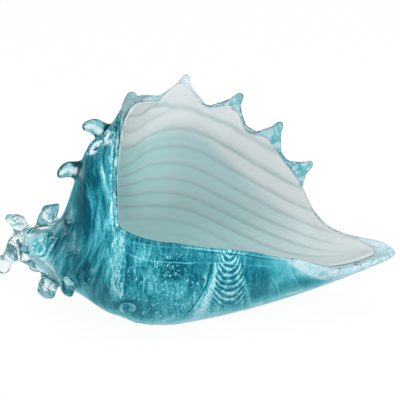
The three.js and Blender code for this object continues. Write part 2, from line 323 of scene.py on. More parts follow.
@dataclass(frozen=True)
class Swirl:
    """A noise in the glass: lumps to a unit, octaves, how much it is stirred, strength of small lumps."""

    scale: float
    detail: float
    stir: float = 0.0
    roughness: float = 0.5

    def at(self, graph: Graph, place: Wire) -> Wire:
        """The noise at a place.

        Args:
            graph: The material's graph.
            place: Where it is read.

        Returns:
            Values about 0.
        """
        sockets = {"Vector": place, "Scale": self.scale, "Detail": self.detail}
        sockets |= {"Distortion": self.stir, "Roughness": self.roughness}
        return graph.wire(graph.node("ShaderNodeTexNoise", {}, sockets)) - 0.5


@dataclass(frozen=True)
class Cloud(Swirl):
    """Uneven patches in the glass: a noise that is stepped between two of its levels."""

    levels: Span = (-0.1, 0.1)

    def mask(self, graph: Graph, place: Wire) -> Wire:
        """0 where the noise lies below the first level, 1 above the second one."""
        return graph.step(self.at(graph, place), *self.levels)


@dataclass(frozen=True)
class Vein(Swirl):
    """Thin lines in the glass, along the middle level of a noise."""

    half: float = 0.05

    def mask(self, graph: Graph, place: Wire) -> Wire:
        """1 along the lines, 0 beside them."""
        return graph.bump_at(self.at(graph, place), 0, self.half)


FOLD_CRACKS = Vein(110.0, 3.0, 1.4, half=0.02)


@dataclass(frozen=True)
class CanalFold:
    """Where the white lining folds over the front edge of the canal.

    The fold reaches down to an angle that grows along x: slowly at first, then steeply.
    """

    starts: Span = (44.0, 56.0)
    slow_from: float = 60.0
    slow_rise: float = 0.9
    steep_from: float = 67.0
    steep_rise: float = 2.1
    steep_angle: float = 9.0

    def limits(self, x: Any) -> tuple[Any, Any]:
        """The two angles of which the larger one ends the fold.

        Args:
            x: Place along the shell in millimetres, as a number or a wire.

        Returns:
            The slow and the steep angle in degrees, of the same kind as x.
        """
        slow = (x - self.slow_from) * self.slow_rise
        return slow, (x - self.steep_from) * self.steep_rise + self.steep_angle


@dataclass(frozen=True)
class ClearGlass:
    """Fire-polished glass of the casing: aqua in the body, clear over the spire and at the canal's tip."""

    name: str = "fire_polished_glass"
    aqua: Colour = (0.78, 0.94, 0.97)
    clear: Colour = (0.97, 0.99, 1.0)
    teal: Colour = (0.12, 0.42, 0.48)
    # Milky white of the glass, also used for the painted highlights on the knobs.
    milk_and_highlight: Colour = (0.62, 0.7, 0.73)
    opal_teal: Colour = (0.2, 0.52, 0.58)
    lamp_tint: Colour = (0.9, 0.97, 0.98)
    tint_name: str = "tint"
    milk_and_highlight_name: str = "milk_and_highlight"
    spire_end: Span = (-58.0, -40.0)
    canal_tip: Span = (108.0, 78.0)
    prunts: Span = (-50.0, -57.0)
    cracked: Span = (58.0, 68.0)
    uneven: Cloud = Cloud(170.0, 3.0, 1.0, levels=(-0.14, 0.12))
    veins: Vein = Vein(115.0, 1.0, 1.2, half=0.07)
    uneven_tint: float = 0.5
    least_tint: float = 0.25
    prunt_tint: float = 0.04
    vein_tint: float = 0.95
    uneven_milk: float = 0.3
    crack_depth: float = 0.85
    waves: Swirl = Swirl(90.0, 1.0)
    wave_strength: float = 0.12
    wave_height: float = 0.0012
    roughness: float = 0.0
    milk_roughness: float = 0.25
    index: float = 1.47

    def build(self) -> bpy.types.Material:
        """Makes glass that lets the lamps through to the colour under it.

        Returns:
            The material.
        """
        graph = Graph(self.name)
        place = graph.place()
        x, _, _ = graph.axes(place)
        body = graph.step(x, *self.spire_end) * graph.step(x, *self.canal_tip)
        uneven = self.uneven.mask(graph, place)
        cloudy = uneven * self.uneven_tint + self.least_tint
        cloudy = graph.blend(graph.step(x, *self.prunts), cloudy, self.prunt_tint)
        tint = graph.attribute(self.tint_name) * (cloudy + self.veins.mask(graph, place) * self.vein_tint)
        cracks = FOLD_CRACKS.mask(graph, place) * graph.step(x, *self.cracked)
        dense = (uneven * self.uneven_milk + (1 - self.uneven_milk)) * (1 - cracks * self.crack_depth)
        milk_and_highlight = graph.attribute(self.milk_and_highlight_name) * dense
        waves = {"Strength": self.wave_strength, "Distance": self.wave_height}
        waves["Height"] = self.waves.at(graph, place)
        sockets = {
            "Base Color": graph.mix(tint, graph.mix(body, self.clear, self.aqua), self.teal),
            "Roughness": self.roughness,
            "IOR": self.index,
            "Transmission Weight": 1.0,
            "Normal": graph.wire(graph.node("ShaderNodeBump", {}, waves)),
        }
        glass = graph.wire(graph.node("ShaderNodeBsdfPrincipled", {}, sockets))
        # The opal shader shows milky glass and also the painted highlights on the knobs.
        white = {"Base Color": graph.mix(tint, self.milk_and_highlight, self.opal_teal), "Roughness": self.milk_roughness}
        opal = graph.wire(graph.node("ShaderNodeBsdfPrincipled", {}, white))
        glass = graph.wire(graph.node("ShaderNodeMixShader", {}, {0: milk_and_highlight, 1: glass, 2: opal}))
        lamp = graph.wire(graph.node("ShaderNodeBsdfTransparent", {}, {"Color": (*self.lamp_tint, 1.0)}))
        shadow = graph.wire(graph.node("ShaderNodeLightPath", {}, {}), "Is Shadow Ray")
        return graph.finish(graph.node("ShaderNodeMixShader", {}, {0: shadow, 1: glass, 2: lamp}))


@dataclass(frozen=True)
class Spot:
    """The place on the coat that is being coloured: millimetres, degrees and unevenness of the glass."""

    graph: Graph
    place: Wire
    x: Wire
    height: Wire
    turn: Wire
    wander: Wire
    ripple: Wire
    front: Wire


@dataclass(frozen=True)
class Streak:
    """Uneven streaks that run down the glass: so many to a millimetre across and down, of one seed."""

    across: float
    down: float
    seed: float
    stir: float = 0.6
    detail: float = 6.0
    roughness: float = 0.62

    def at(self, spot: Spot, across: Wire) -> Wire:
        """Values about 0 at a spot.

        Args:
            spot: The place that is coloured.
            across: What is counted across the streaks, in millimetres.

        Returns:
            The values.
        """
        flow = spot.graph.vector(across * self.across, spot.height * self.down, self.seed)
        return Swirl(1.0, self.detail, self.stir, self.roughness).at(spot.graph, flow)


@dataclass(frozen=True)
class Patch:
    """A soft patch on the front: its middle, and half its width and height, in millimetres."""

    x: float
    height: float
    half_width: float
    half_height: float

    def mask(self, graph: Graph, x: Wire, height: Wire) -> Wire:
        """1 in the middle of the patch, 0 outside it."""
        across = graph.bump_at(x, self.x, self.half_width)
        return across * graph.bump_at(height, self.height, self.half_height)


@dataclass(frozen=True)
class Ground:
    """Ground of the coat: dark in the middle of the belly, brighter and calmer towards the canal."""

    clouds: Swirl = Swirl(48.0, 5.0, 0.8)
    canal: Span = (48.0, 60.0)
    belly_clouds: float = 1.4
    belly_level: float = 0.32
    canal_clouds: float = 1.5
    canal_level: float = 0.55
    patch_edge: Span = (0.0, 0.5)
    patch: Patch = Patch(52.0, 18.0, 6.67, 10.0)
    patch_share: float = 0.9
    patch_level: float = 0.16
    dark: Patch = Patch(9.0, 24.5, 10.0, 8.33)
    dark_level: float = -0.2
    dark_calm: float = 0.75
    bright: Patch = Patch(19.0, 11.0, 10.0, 10.0)
    bright_rise: float = 0.22
    wild: Span = (60.0, 40.0)
    least_wild: float = 0.25
    hair: Streak = Streak(0.55, 0.07, 4.0)
    hair_rise: float = 1.3
    hair_wander: float = 0.5
    dash: Streak = Streak(1.4, 0.5, 8.0)
    dash_rise: float = 1.5

    def lay(self, spot: Spot) -> Wire:
        """Lays the ground that the other patterns go over.

        Args:
            spot: The place that is coloured.

        Returns:
            The level there.
        """
        graph, x, height = spot.graph, spot.x + spot.ripple, spot.height
        cloud = self.clouds.at(graph, spot.place)
        belly = cloud * self.belly_clouds + self.belly_level
        level = graph.blend(graph.step(x, *self.canal), belly, cloud * self.canal_clouds + self.canal_level)
        patch = graph.step(self.patch.mask(graph, x, height), *self.patch_edge)
        level = graph.blend(patch * self.patch_share, level, self.patch_level)
        dark = graph.step(self.dark.mask(graph, x, height), *self.patch_edge)
        level = graph.blend(dark, level, self.dark_level)
        level = level + self.bright.mask(graph, x, height) * self.bright_rise
        wild = graph.step(x, *self.wild) * (1 - self.least_wild) + self.least_wild
        hair = self.hair.at(spot, x + spot.wander * self.hair_wander) * self.hair_rise
        streaks = hair + self.dash.at(spot, x) * self.dash_rise
        return level + streaks * (wild * (1 - dark * self.dark_calm))


class Layer:
    """A pattern that is laid over what is already in the coat."""

    def lay(self, spot: Spot, level: Wire) -> Wire:
        """Lays the pattern.

        Args:
            spot: The place that is coloured.
            level: Level of what lies under the pattern.

        Returns:
            The new level.
        """
        raise NotImplementedError


@dataclass(frozen=True)
class ShoulderStreaks(Layer):
    """Upright streaks on the shoulder, left of the mouth, that sway and fan out downwards."""

    edge: Span = (-14.0, -19.0)
    middle: float = -24.0
    fan_top: float = 150.0
    fan_width: float = 60.0
    fan_ripple: float = 0.4
    sway_length: float = 62.0
    sway_width: float = 2.6
    broad: Streak = Streak(0.17, 0.02, 1.0, 1.6)
    broad_rise: float = 3.4
    fine: Streak = Streak(0.36, 0.035, 2.0, 1.4)
    fine_rise: float = 1.7
    dash: Streak = Streak(1.6, 0.9, 3.0)
    dash_rise: float = 0.6
    base_level: float = 0.22
    low: Span = (80.0, 25.0)
    low_rise: float = 0.17
    ramp: Span = (-38.0, -50.0)
    ramp_rise: float = 0.2
    spire: Span = (-48.0, -58.0)
    spire_rise: float = 0.16

    def lay(self, spot: Spot, level: Wire) -> Wire:
        """Lays the streaks over the shoulder and the spire.

        Args:
            spot: The place that is coloured.
            level: Level of what lies under them.

        Returns:
            The new level.
        """
        graph, x = spot.graph, spot.x + spot.wander
        sway = graph.maths("SINE", spot.height * (math.tau / self.sway_length)) * self.sway_width
        fan = x + sway - self.middle + spot.ripple * self.fan_ripple
        fan = fan * (self.fan_width / (self.fan_top - spot.height))
        hood = self.broad.at(spot, fan) * self.broad_rise + self.fine.at(spot, fan) * self.fine_rise
        hood = hood + self.dash.at(spot, x) * self.dash_rise + self.base_level
        hood = hood + graph.step(spot.height, *self.low) * self.low_rise
        hood = hood + graph.step(x, *self.ramp) * self.ramp_rise
        hood = hood + graph.step(x, *self.spire) * self.spire_rise
        return graph.blend(graph.step(x, *self.edge), level, hood)


@dataclass(frozen=True)
class Feathers(Layer):
    """Pale feathery streaks that hang down the left of the belly."""

    ripple: float = 0.5
    left_from: Span = (-25.0, -20.0)
    left_to: Span = (-13.0, -15.0)
    left_rise: float = 0.24
    right_from: Span = (-12.5, -9.0)
    right_to: Span = (9.0, 1.0)
    right_share: float = 0.75
    foot: Span = (3.0, 12.0)
    plume: Streak = Streak(0.45, 0.09, 5.0, 0.9)
    dash: Streak = Streak(1.2, 0.5, 6.0, 1.2)
    streak_rise: float = 2.2
    crest: Patch = Patch(-5.0, 31.0, 6.25, 7.69)
    crest_rise: float = 0.4
    base_level: float = 0.4

    def lay(self, spot: Spot, level: Wire) -> Wire:
        """Lays the feathers to both sides of the drawn line at the left.

        Args:
            spot: The place that is coloured.
            level: Level of what lies under them.

        Returns:
            The new level.
        """
        graph, x, height = spot.graph, spot.x + spot.ripple * self.ripple, spot.height
        left = graph.step(x, *self.left_from) * graph.step(x, *self.left_to)
        right = graph.step(x, *self.right_from) * graph.step(x, *self.right_to)
        share = graph.maths("MAXIMUM", left, right * self.right_share) * graph.step(height, *self.foot)
        streaks = (self.plume.at(spot, x) + self.dash.at(spot, x)) * self.streak_rise
        crest = self.crest.mask(graph, x, height) * self.crest_rise
        return graph.blend(share, level, streaks + left * self.left_rise + crest + self.base_level)


@dataclass(frozen=True)
class Sprinkle:
    """Flecks of one size: cells to a millimetre, the shares that hold a fleck, and the flecks' level."""

    scale: float
    drift_share: float
    open_share: float
    level: float


@dataclass(frozen=True)
class Flecks(Layer):
    """White flecks strewn in drifts over the belly."""

    belly_from: Span = (-24.0, -18.0)
    belly_to: Span = (28.5, 27.0)
    ripple: float = 0.3
    lean: float = 0.3
    squeeze: float = 0.5
    drift: Swirl = Swirl(75.0, 3.0, 0.6)
    drift_edge: Span = (-0.1, 0.12)
    drift_height: float = 17.0
    drift_fall: float = 0.008
    radius: float = 0.46
    sizes: tuple[Sprinkle, ...] = (Sprinkle(0.75, 0.26, 0.04, 0.8), Sprinkle(1.35, 0.45, 0.08, 0.68))

    def lay(self, spot: Spot, level: Wire) -> Wire:
        """Strews the flecks.

        Args:
            spot: The place that is coloured.
            level: Level of what lies under them.

        Returns:
            The new level.
        """
        graph, x, height = spot.graph, spot.x, spot.height
        slant = x + spot.ripple * self.ripple - height * self.lean
        flow = graph.vector(slant, height * self.squeeze, 0.0)
        belly = graph.step(x, *self.belly_from) * graph.step(x, *self.belly_to)
        drift = self.drift.at(graph, spot.place) + (self.drift_height - height) * self.drift_fall
        drift = graph.step(drift, *self.drift_edge) * belly
        for size in self.sizes:
            share = drift * size.drift_share + belly * size.open_share
            flecks = graph.strewn(flow, size.scale, share, self.radius) * size.level
            level = graph.maths("MAXIMUM", level, flecks)
        return level


@dataclass(frozen=True)
class CombedLoops(Layer):
    """Nested loops where a hook was drawn down through the streaks."""

    middle: float = 36.6
    wander: float = 0.3
    sag: float = 0.2
    ripple: float = 0.5
    top_half: float = 4.2
    spread: float = 4.4
    spread_over: Span = (36.0, 16.0)
    hang: float = 6.5
    loop_pitch: float = 2.9
    loop_rise: float = 0.36
    hair_pitch: float = 0.95
    hair_rise: float = 0.2
    hair_stir: float = 9.0
    uneven: Swirl = Swirl(1.0, 3.0)
    uneven_flow: tuple[float, float, float] = (0.35, 0.3, 9.0)
    uneven_rise: float = 1.9
    base_level: float = 0.46
    side: Span = (1.08, 0.8)
    foot: Span = (5.0, 10.0)
    share: float = 0.92

    def lay(self, spot: Spot, level: Wire) -> Wire:
        """Lays the loops.

        Args:
            spot: The place that is coloured.
            level: Level of what lies under them.

        Returns:
            The new level.
        """
        graph = spot.graph
        x, height = spot.x + spot.wander * self.wander, spot.height + spot.wander * self.sag
        half = graph.step(height, *self.spread_over) * self.spread + self.top_half
        across = (x - self.middle + spot.ripple * self.ripple) / half
        hang = height - across * across * self.hang + spot.ripple * self.ripple
        along, down, seed = self.uneven_flow
        uneven = self.uneven.at(graph, graph.vector(x * along, height * down, seed))
        loops = graph.maths("SINE", hang * (math.tau / self.loop_pitch)) * self.loop_rise
        stirred = hang * (math.tau / self.hair_pitch) + uneven * self.hair_stir
        hairs = graph.maths("SINE", stirred) * self.hair_rise
        window = graph.step(abs(across), *self.side) * graph.step(height, *self.foot) * spot.front
        pattern = loops + hairs + uneven * self.uneven_rise + self.base_level
        return graph.blend(window * self.share, level, pattern)


@dataclass(frozen=True)
class DrawnLine:
    """A line drawn down the belly.

    It starts at x and height (seen from the front, in millimetres), runs along x by slope for each
    millimetre down and bend for its square, and is half wide to each side, growing by spread.
    """

    x: float
    height: float
    slope: float
    bend: float
    half: float
    length: float
    share: float
    level: float
    spread: float = 0.0
    start: Span = (-1.0, 1.5)
    run_out: float = 3.0
    core: float = 0.25

    def mask(self, graph: Graph, x: Wire, height: Wire) -> Wire:
        """Where the line is, from 0 to its share.

        Args:
            graph: The material's graph.
            x: Place along the shell.
            height: Height as seen from the front.

        Returns:
            The mask.
        """
        down = self.height - height
        off = abs(x - (down * down * self.bend + down * self.slope + self.x))
        width = graph.maths("MAXIMUM", down, 0.0) * self.spread + self.half
        ends = graph.step(down, *self.start) * graph.step(down, self.length + self.run_out, self.length)
        return graph.step(off / width, 1.0, self.core) * ends * self.share


@dataclass(frozen=True)
class BellyLines(Layer):
    """The lines that were drawn down the belly, each of them grainy."""

    wander: float = 0.15
    ripple: float = 0.35
    grain: Cloud = Cloud(620.0, 3.0, levels=(-0.16, 0.1))
    least_grain: float = 0.55
    lines: tuple[DrawnLine, ...] = (
        DrawnLine(-13.0, 31, -0.083, 0.0, 1.0, 18, 0.85, 0.02),
        DrawnLine(29.6, 27.5, 0.04, -0.0135, 0.9, 27, 0.95, 0.98, 0.13),
        DrawnLine(25.2, 22, 0.03, -0.0195, 0.8, 17, 0.8, 0.92, 0.06),
        DrawnLine(27.8, 29, 0.03, -0.0175, 0.7, 28, 0.95, 0.0),
        DrawnLine(45.0, 24, 0.15, -0.0095, 0.7, 19, 0.7, 0.05),
        DrawnLine(44.0, 20, 0.25, 0.0, 0.9, 16, 0.6, 0.9, 0.1),
        DrawnLine(56.4, 20.0, 1.0, -0.057, 0.7, 12, 0.5, 0.1),
        DrawnLine(57.4, 20.0, 1.0, -0.057, 0.7, 12, 0.6, 0.8),
        DrawnLine(67.0, 24.5, 0.4, 0.018, 0.6, 14, 0.6, 0.85),
        DrawnLine(68.1, 24.0, 0.4, 0.018, 0.7, 14, 0.4, 0.1),
    )

    def lay(self, spot: Spot, level: Wire) -> Wire:
        """Draws the lines, the later ones over the earlier ones.

        Args:
            spot: The place that is coloured.
            level: Level of what lies under them.

        Returns:
            The new level.
        """
        graph = spot.graph
        x = spot.x + spot.wander * self.wander + spot.ripple * self.ripple
        grain = self.grain.mask(graph, spot.place) * (1 - self.least_grain) + self.least_grain
        for line in self.lines:
            mask = line.mask(graph, x, spot.height) * spot.front
            level = graph.blend(mask * grain, level, line.level)
        return level


@dataclass(frozen=True)
class EdgeHighlights(Layer):
    """Two thin painted highlights that follow the front edge of the mouth."""

    wander: float = 0.45
    ripple: float = 0.2
    low_height: float = 28.2
    low_fall: float = 0.045
    low_lift: float = 0.0175
    low_half: float = 0.6
    low_share: float = 0.75
    high_height: float = 36.0
    high_fall: float = 0.11
    high_half: float = 0.7
    high_share: float = 0.6
    patchy_light: Cloud = Cloud(120.0, 3.0, levels=(-0.14, 0.1))
    least_patchy_light: float = 0.4
    starts: Span = (-17.0, -13.0)
    ends: Span = (66.0, 50.0)
    highlight_level: float = 0.86

    def lay(self, spot: Spot, level: Wire) -> Wire:
        """Lays the painted highlights.

        Args:
            spot: The place that is coloured.
            level: Level of what lies under them.

        Returns:
            The new level.
        """
        graph, x = spot.graph, spot.x
        height = spot.height + spot.wander * self.wander + spot.ripple * self.ripple
        left = graph.maths("MINIMUM", x, 0.0)
        low = height - (self.low_height - x * self.low_fall + left * left * self.low_lift)
        high = height - (self.high_height - x * self.high_fall)
        # Patchy strength of the painted highlights.
        patchy_light = self.patchy_light.mask(graph, spot.place) * (1 - self.least_patchy_light) + self.least_patchy_light
        along = graph.step(x, *self.starts) * graph.step(x, *self.ends) * spot.front * patchy_light
        low_mask = graph.bump_at(low, 0, self.low_half) * along * self.low_share
        high_mask = graph.bump_at(high, 0, self.high_half) * along * self.high_share
        return graph.blend(high_mask, graph.blend(low_mask, level, self.highlight_level), self.highlight_level)


@dataclass(frozen=True)
class Ring:
    """One field of the eye: where it fades out, as a share of the eye's size, its share and its level."""

    fade: Span
    share: float
    level: float


@dataclass(frozen=True)
class Eye(Layer):
    """Pale ring in a dark field at the low left of the belly."""

    x: float = -13.2
    height: float = 5.3
    half_width: float = 4.4
    half_height: float = 2.5
    lean: float = 0.06
    ripple: Span = (0.1, 0.08)
    rings: tuple[Ring, ...] = (
        Ring((2.1, 1.2), 0.85, 0.08),
        Ring((1.1, 0.8), 0.85, 0.94),
        Ring((0.62, 0.4), 0.6, 0.35),
    )

    def lay(self, spot: Spot, level: Wire) -> Wire:
        """Lays the eye, from its outer field inwards.

        Args:
            spot: The place that is coloured.
            level: Level of what lies under it.

        Returns:
            The new level.
        """
        graph, off = spot.graph, spot.x - self.x
        right = (off + spot.ripple * self.ripple[0]) / self.half_width
        up = (spot.height - self.height - off * self.lean + spot.ripple * self.ripple[1]) / self.half_height
        away = graph.maths("SQRT", right * right + up * up)
        for ring in self.rings:
            level = graph.blend(graph.step(away, *ring.fade) * spot.front * ring.share, level, ring.level)
        return level


@dataclass(frozen=True)
class PaintedFloorLight(Layer):
    """Paler towards the ground under the belly, with lying strokes: painted light from the floor below."""

    strokes: Swirl = Swirl(1.0, 5.0, 1.0, 0.6)
    flow: tuple[float, float, float] = (0.09, 0.12, 11.0)
    stroke_rise: float = 1.4
    floor_light_level: float = 0.92
    ripple: float = 5.0
    front_edge: Span = (38.0, 62.0)
    back_edge: Span = (160.0, 115.0)
    share: float = 0.9

    def lay(self, spot: Spot, level: Wire) -> Wire:
        """Lays the painted floor light with its strokes.

        Args:
            spot: The place that is coloured.
            level: Level of what lies under them.

        Returns:
            The new level.
        """
        graph = spot.graph
        along, down, seed = self.flow
        strokes = self.strokes.at(graph, graph.vector(spot.x * along, spot.turn * down, seed))
        turn = spot.turn + spot.ripple * self.ripple
        share = graph.step(turn, *self.front_edge) * graph.step(turn, *self.back_edge) * self.share
        # Painted light from the floor: the underside of the belly is laid paler.
        return graph.blend(share, level, strokes * self.stroke_rise + self.floor_light_level)


@dataclass(frozen=True)
class FoldedEdge(Layer):
    """Pale edge of the canal, where the lining folds over it, with clouds and dark cracks."""

    fold: CanalFold = CanalFold()
    wander: float = 0.4
    soft: float = 5.0
    under: Span = (110.0, 95.0)
    share: float = 0.95
    clouds: Swirl = Swirl(70.0, 4.0)
    cloud_rise: float = 0.5
    crack_fall: float = 0.8
    base_level: float = 0.93

    def mask(self, spot: Spot) -> Wire:
        """Where the fold lies.

        Args:
            spot: The place that is coloured.

        Returns:
            0 outside the fold, up to its share in it.
        """
        graph, x, turn = spot.graph, spot.x + spot.wander * self.wander, spot.turn
        limit = graph.maths("MAXIMUM", *self.fold.limits(x))
        inside = graph.step(limit - turn, 0, self.soft) * graph.step(x, *self.fold.starts)
        return inside * graph.step(turn, *self.under) * self.share

    def lay(self, spot: Spot, level: Wire) -> Wire:
        """Lays the fold.

        Args:
            spot: The place that is coloured.
            level: Level of what lies under it.

        Returns:
            The new level.
        """
        graph = spot.graph
        clouds = self.clouds.at(graph, spot.place) * self.cloud_rise
        cracks = FOLD_CRACKS.mask(graph, spot.place) * self.crack_fall
        return graph.blend(self.mask(spot), level, clouds + self.base_level - cracks)


@dataclass(frozen=True)
class MarbledFrit:
    """Teal glass powder and white flecks, melted on and drawn into streaks under the clear glass.

    One level runs from 0 in the densest teal to 1 in the palest white, and the tones give its colour.
    """

    name: str = "marbled_frit"
    rim_name: str = "rim"
    roughness: float = 0.4
    view_rise: float = 20.0
    wander: Swirl = Swirl(30.0, 2.0)
    wander_width: float = 7.0
    ripple: Swirl = Swirl(190.0, 4.0)
    ripple_width: float = 3.4
    front_edge: Span = (92.0, 72.0)
    opal: Colour = (0.5, 0.6, 0.65)
    opal_share: float = 0.65
    tones: tuple[tuple[float, Colour], ...] = (
        (0.0, (0.003, 0.1, 0.15)),
        (0.25, (0.018, 0.2, 0.26)),
        (0.5, (0.06, 0.36, 0.42)),
        (0.7, (0.19, 0.54, 0.59)),
        (0.85, (0.44, 0.7, 0.73)),
        (1.0, (0.82, 0.87, 0.88)),
    )
    ground: Ground = Ground()
    folded: FoldedEdge = FoldedEdge()
    # Among the layers, the edge lines are painted highlights and the foot is painted light from the floor.
    layers: tuple[Layer, ...] = (
        ShoulderStreaks(),
        Feathers(),
        Flecks(),
        CombedLoops(),
        BellyLines(),
        EdgeHighlights(),
        Eye(),
        PaintedFloorLight(),
    )
    canal_bare: Span = (108.0, 84.0)
    canal_lean: float = 0.12
    canal_back: Span = (130.0, 110.0)
    crown_from: Span = (-18.0, -12.0)
    crown_to: Span = (62.0, 36.0)
    crown_depth: Span = (13.0, 6.0)
    crown_uneven: float = 0.9

    def build(self) -> bpy.types.Material:
        """Lays the patterns over the ground, one after the other, and colours them.

        Returns:
            The material.
        """
        graph = Graph(self.name)
        place = graph.place()
        x, y, z = graph.axes(place)
        turn = graph.angle(y, z)
        rise = math.radians(self.view_rise)
        height = z * math.cos(rise) + y * math.sin(rise)
        wander = self.wander.at(graph, place) * self.wander_width
        ripple = self.ripple.at(graph, place) * self.ripple_width
        spot = Spot(graph, place, x, height, turn, wander, ripple, graph.step(turn, *self.front_edge))

        level = self.ground.lay(spot)
        for layer in (*self.layers, self.folded):
            level = layer.lay(spot, level)

        share = self.folded.mask(spot) * self.opal_share
        colour = graph.mix(share, graph.ramp(level, self.tones), self.opal)
        sockets = {"Base Color": colour, "Roughness": self.roughness}
        sockets |= {"Specular IOR Level": 0.0, "Alpha": self.cover(spot)}
        return graph.finish(graph.node("ShaderNodeBsdfPrincipled", {}, sockets))

    def cover(self, spot: Spot) -> Wire:
        """How dense the powder lies: none under the crown of the lip and on the upper edge of the canal.

        Args:
            spot: The place that is coloured.

        Returns:
            0 on bare glass, 1 under the full coat.
        """
        graph, x = spot.graph, spot.x
        before = graph.step(x + spot.turn * self.canal_lean, *self.canal_bare)
        canal = graph.maths("MAXIMUM", before, graph.step(spot.turn, *self.canal_back))
        below = graph.attribute(self.rim_name) + (spot.wander + spot.ripple) * self.crown_uneven
        crown = graph.step(x, *self.crown_from) * graph.step(x + spot.wander, *self.crown_to)
        return canal * (1 - crown * graph.step(below, *self.crown_depth))


@dataclass(frozen=True)
class OpalWhite:
    """Opaque white glass of the mouth: a darker mint deeper in, partly painted shade, with more painted
    shade and highlights over it.
    """

    name: str = "opal_white"
    white: Colour = (0.585, 0.62, 0.63)
    mint: Colour = (0.34, 0.525, 0.53)
    shade: Colour = (0.25, 0.37, 0.38)
    # Grey of the painted shade over the middle of the mouth.
    painted_shade_grey: Colour = (0.15, 0.17, 0.175)
    roughness: float = 0.34
    rib_name: str = "rib"
    crease_name: str = "crease"
    last_rib: float = 9.0
    fade_ribs: float = 3.0
    clouds: Swirl = Swirl(30.0, 3.0)
    cloud_width: float = 1.2
    mint_counts: Span = (0.6, 1.6)
    mint_from: float = 20.0
    mint_fall: float = 0.035
    deep_end: Span = (-17.0, -23.0)
    canal: Span = (30.0, 95.0)
    canal_white: float = 0.85
    rib_counts: Span = (-0.7, -0.2)
    rib_left: Span = (-26.0, -18.0)
    rib_right: Span = (100.0, 76.0)
    patchy_light: Swirl = Swirl(55.0, 2.0)
    patchy_light_level: float = 0.8
    deep_fade: Span = (1.5, 0.4)
    # Painted shadow just below each rib's edge and painted highlight just above it.
    line: Span = (0.05, 0.2)
    rib_shadow_share: float = 0.42
    rib_highlight: Span = (-0.16, 0.24)
    rib_highlight_share: float = 0.35
    # Painted shade in the crease below the rim.
    crease_left: Span = (-22.0, -17.0)
    crease_right: Span = (17.0, 6.0)
    crease_line: Span = (0.04, 0.22)
    crease_shade_share: float = 0.6
    above_counts: Span = (0.6, 0.4)
    above_fade: float = 0.6
    # Where the painted grey shade lies: along x and above the mouth's floor, with less of it near the top.
    painted_shade_from: Span = (-8.0, 18.0)
    painted_shade_up: Span = (26.0, 46.0)
    painted_shade_top: Span = (70.0, 95.0)
    painted_shade_top_fade: float = 0.55
    painted_shade_share: float = 0.32

    def build(self) -> bpy.types.Material:
        """Makes white glass with a painted shadow below each rib's edge and a painted highlight above it.

        Returns:
            The material.
        """
        graph = Graph(self.name)
        place = graph.place()
        x, _, z = graph.axes(place)
        count = graph.attribute(self.rib_name)
        depth = self.depth(graph, place, x, count)
        pale = graph.step(x, *self.canal) * self.canal_white
        # Darker mint deeper in the mouth and at its closed end: partly painted shade of the hollow.
        colour = graph.mix(depth * (1 - pale), self.white, self.mint)

        # Painted shade along the crease, over the crease cut in the mesh.
        left = graph.step(x, *self.crease_right) * graph.step(x, *self.crease_left)
        crease = graph.bump_at(graph.attribute(self.crease_name), *self.crease_line)
        colour = graph.mix(crease * left * self.crease_shade_share, colour, self.shade)

        near = graph.step(count, *self.rib_counts)
        near = near * graph.step(count, self.last_rib, self.last_rib - self.fade_ribs)
        near = near * graph.step(x, *self.rib_left) * graph.step(x, *self.rib_right)
        # Patchy strength of the ribs' painted shadow and highlight.
        near = near * (self.patchy_light.at(graph, place) + self.patchy_light_level)
        near = near * (self.deep_fade[0] - depth * self.deep_fade[1])
        near = near * (1 - left * graph.step(count, *self.above_counts) * self.above_fade)
        # Painted shadow along each rib's edge and a painted highlight just above it, laid over the grooves
        # cut in the mesh.
        off = count - graph.maths("ROUND", count)
        colour = graph.mix(graph.bump_at(off, *self.line) * near * self.rib_shadow_share, colour, self.shade)
        colour = graph.mix(graph.bump_at(off, *self.rib_highlight) * near * self.rib_highlight_share, colour, self.white)

        # Painted shade: neutral grey over the middle and right of the mouth, which evens out how the lamps
        # light the white.
        painted_shade = graph.step(x, *self.painted_shade_from) * graph.step(z, *self.painted_shade_up)
        painted_shade = painted_shade * (1 - graph.step(z, *self.painted_shade_top) * self.painted_shade_top_fade)
        colour = graph.mix(painted_shade * self.painted_shade_share, colour, self.painted_shade_grey)
        sockets = {"Base Color": colour, "Roughness": self.roughness}
        return graph.finish(graph.node("ShaderNodeBsdfPrincipled", {}, sockets))

    def depth(self, graph: Graph, place: Wire, x: Wire, count: Wire) -> Wire:
        """How deep in the mouth a place lies, where the white turns to a darker mint that is partly painted
        shade.

        Args:
            graph: The material's graph.
            place: Object coordinates.
            x: Place along the shell in millimetres.
            count: How many ribs lie above the place.

        Returns:
            0 near the lip, 1 deep in the mouth.
        """
        cloud = self.clouds.at(graph, place) * self.cloud_width
        far = graph.maths("MAXIMUM", x - self.mint_from, 0.0) * self.mint_fall
        depth = graph.step(count - far + cloud, *self.mint_counts)
        return graph.maths("MAXIMUM", depth, graph.step(x, *self.deep_end))


def cad_copy(node: str) -> bmesh.types.BMesh:
    """Copy of a CAD node with its triangles merged back into four-sided faces.

    Args:
        node: Name of the node.

    Returns:
        A new mesh.
    """
    shape = bmesh.new()
    shape.from_mesh(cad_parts[node].data)
    bmesh.ops.remove_doubles(shape, verts=shape.verts, dist=MERGE_DISTANCE)
    bmesh.ops.join_triangles(
        shape,
        faces=shape.faces,
        angle_face_threshold=FLAT_ANGLE,
        angle_shape_threshold=SQUARE_ANGLE,
    )
    shape.normal_update()
    return shape


def node_skin(node: str) -> BVHTree:
    """Search tree over the skin of a CAD node.

    Args:
        node: Name of the node.

    Returns:
        The tree.
    """
    shape = cad_copy(node)
    skin = BVHTree.FromBMesh(shape)
    shape.free()
    return skin


def middle_of(verts: Sequence[bmesh.types.BMVert]) -> Vector:
    """Mean place of some vertices."""
    return sum((vert.co for vert in verts), Vector()) / len(verts)


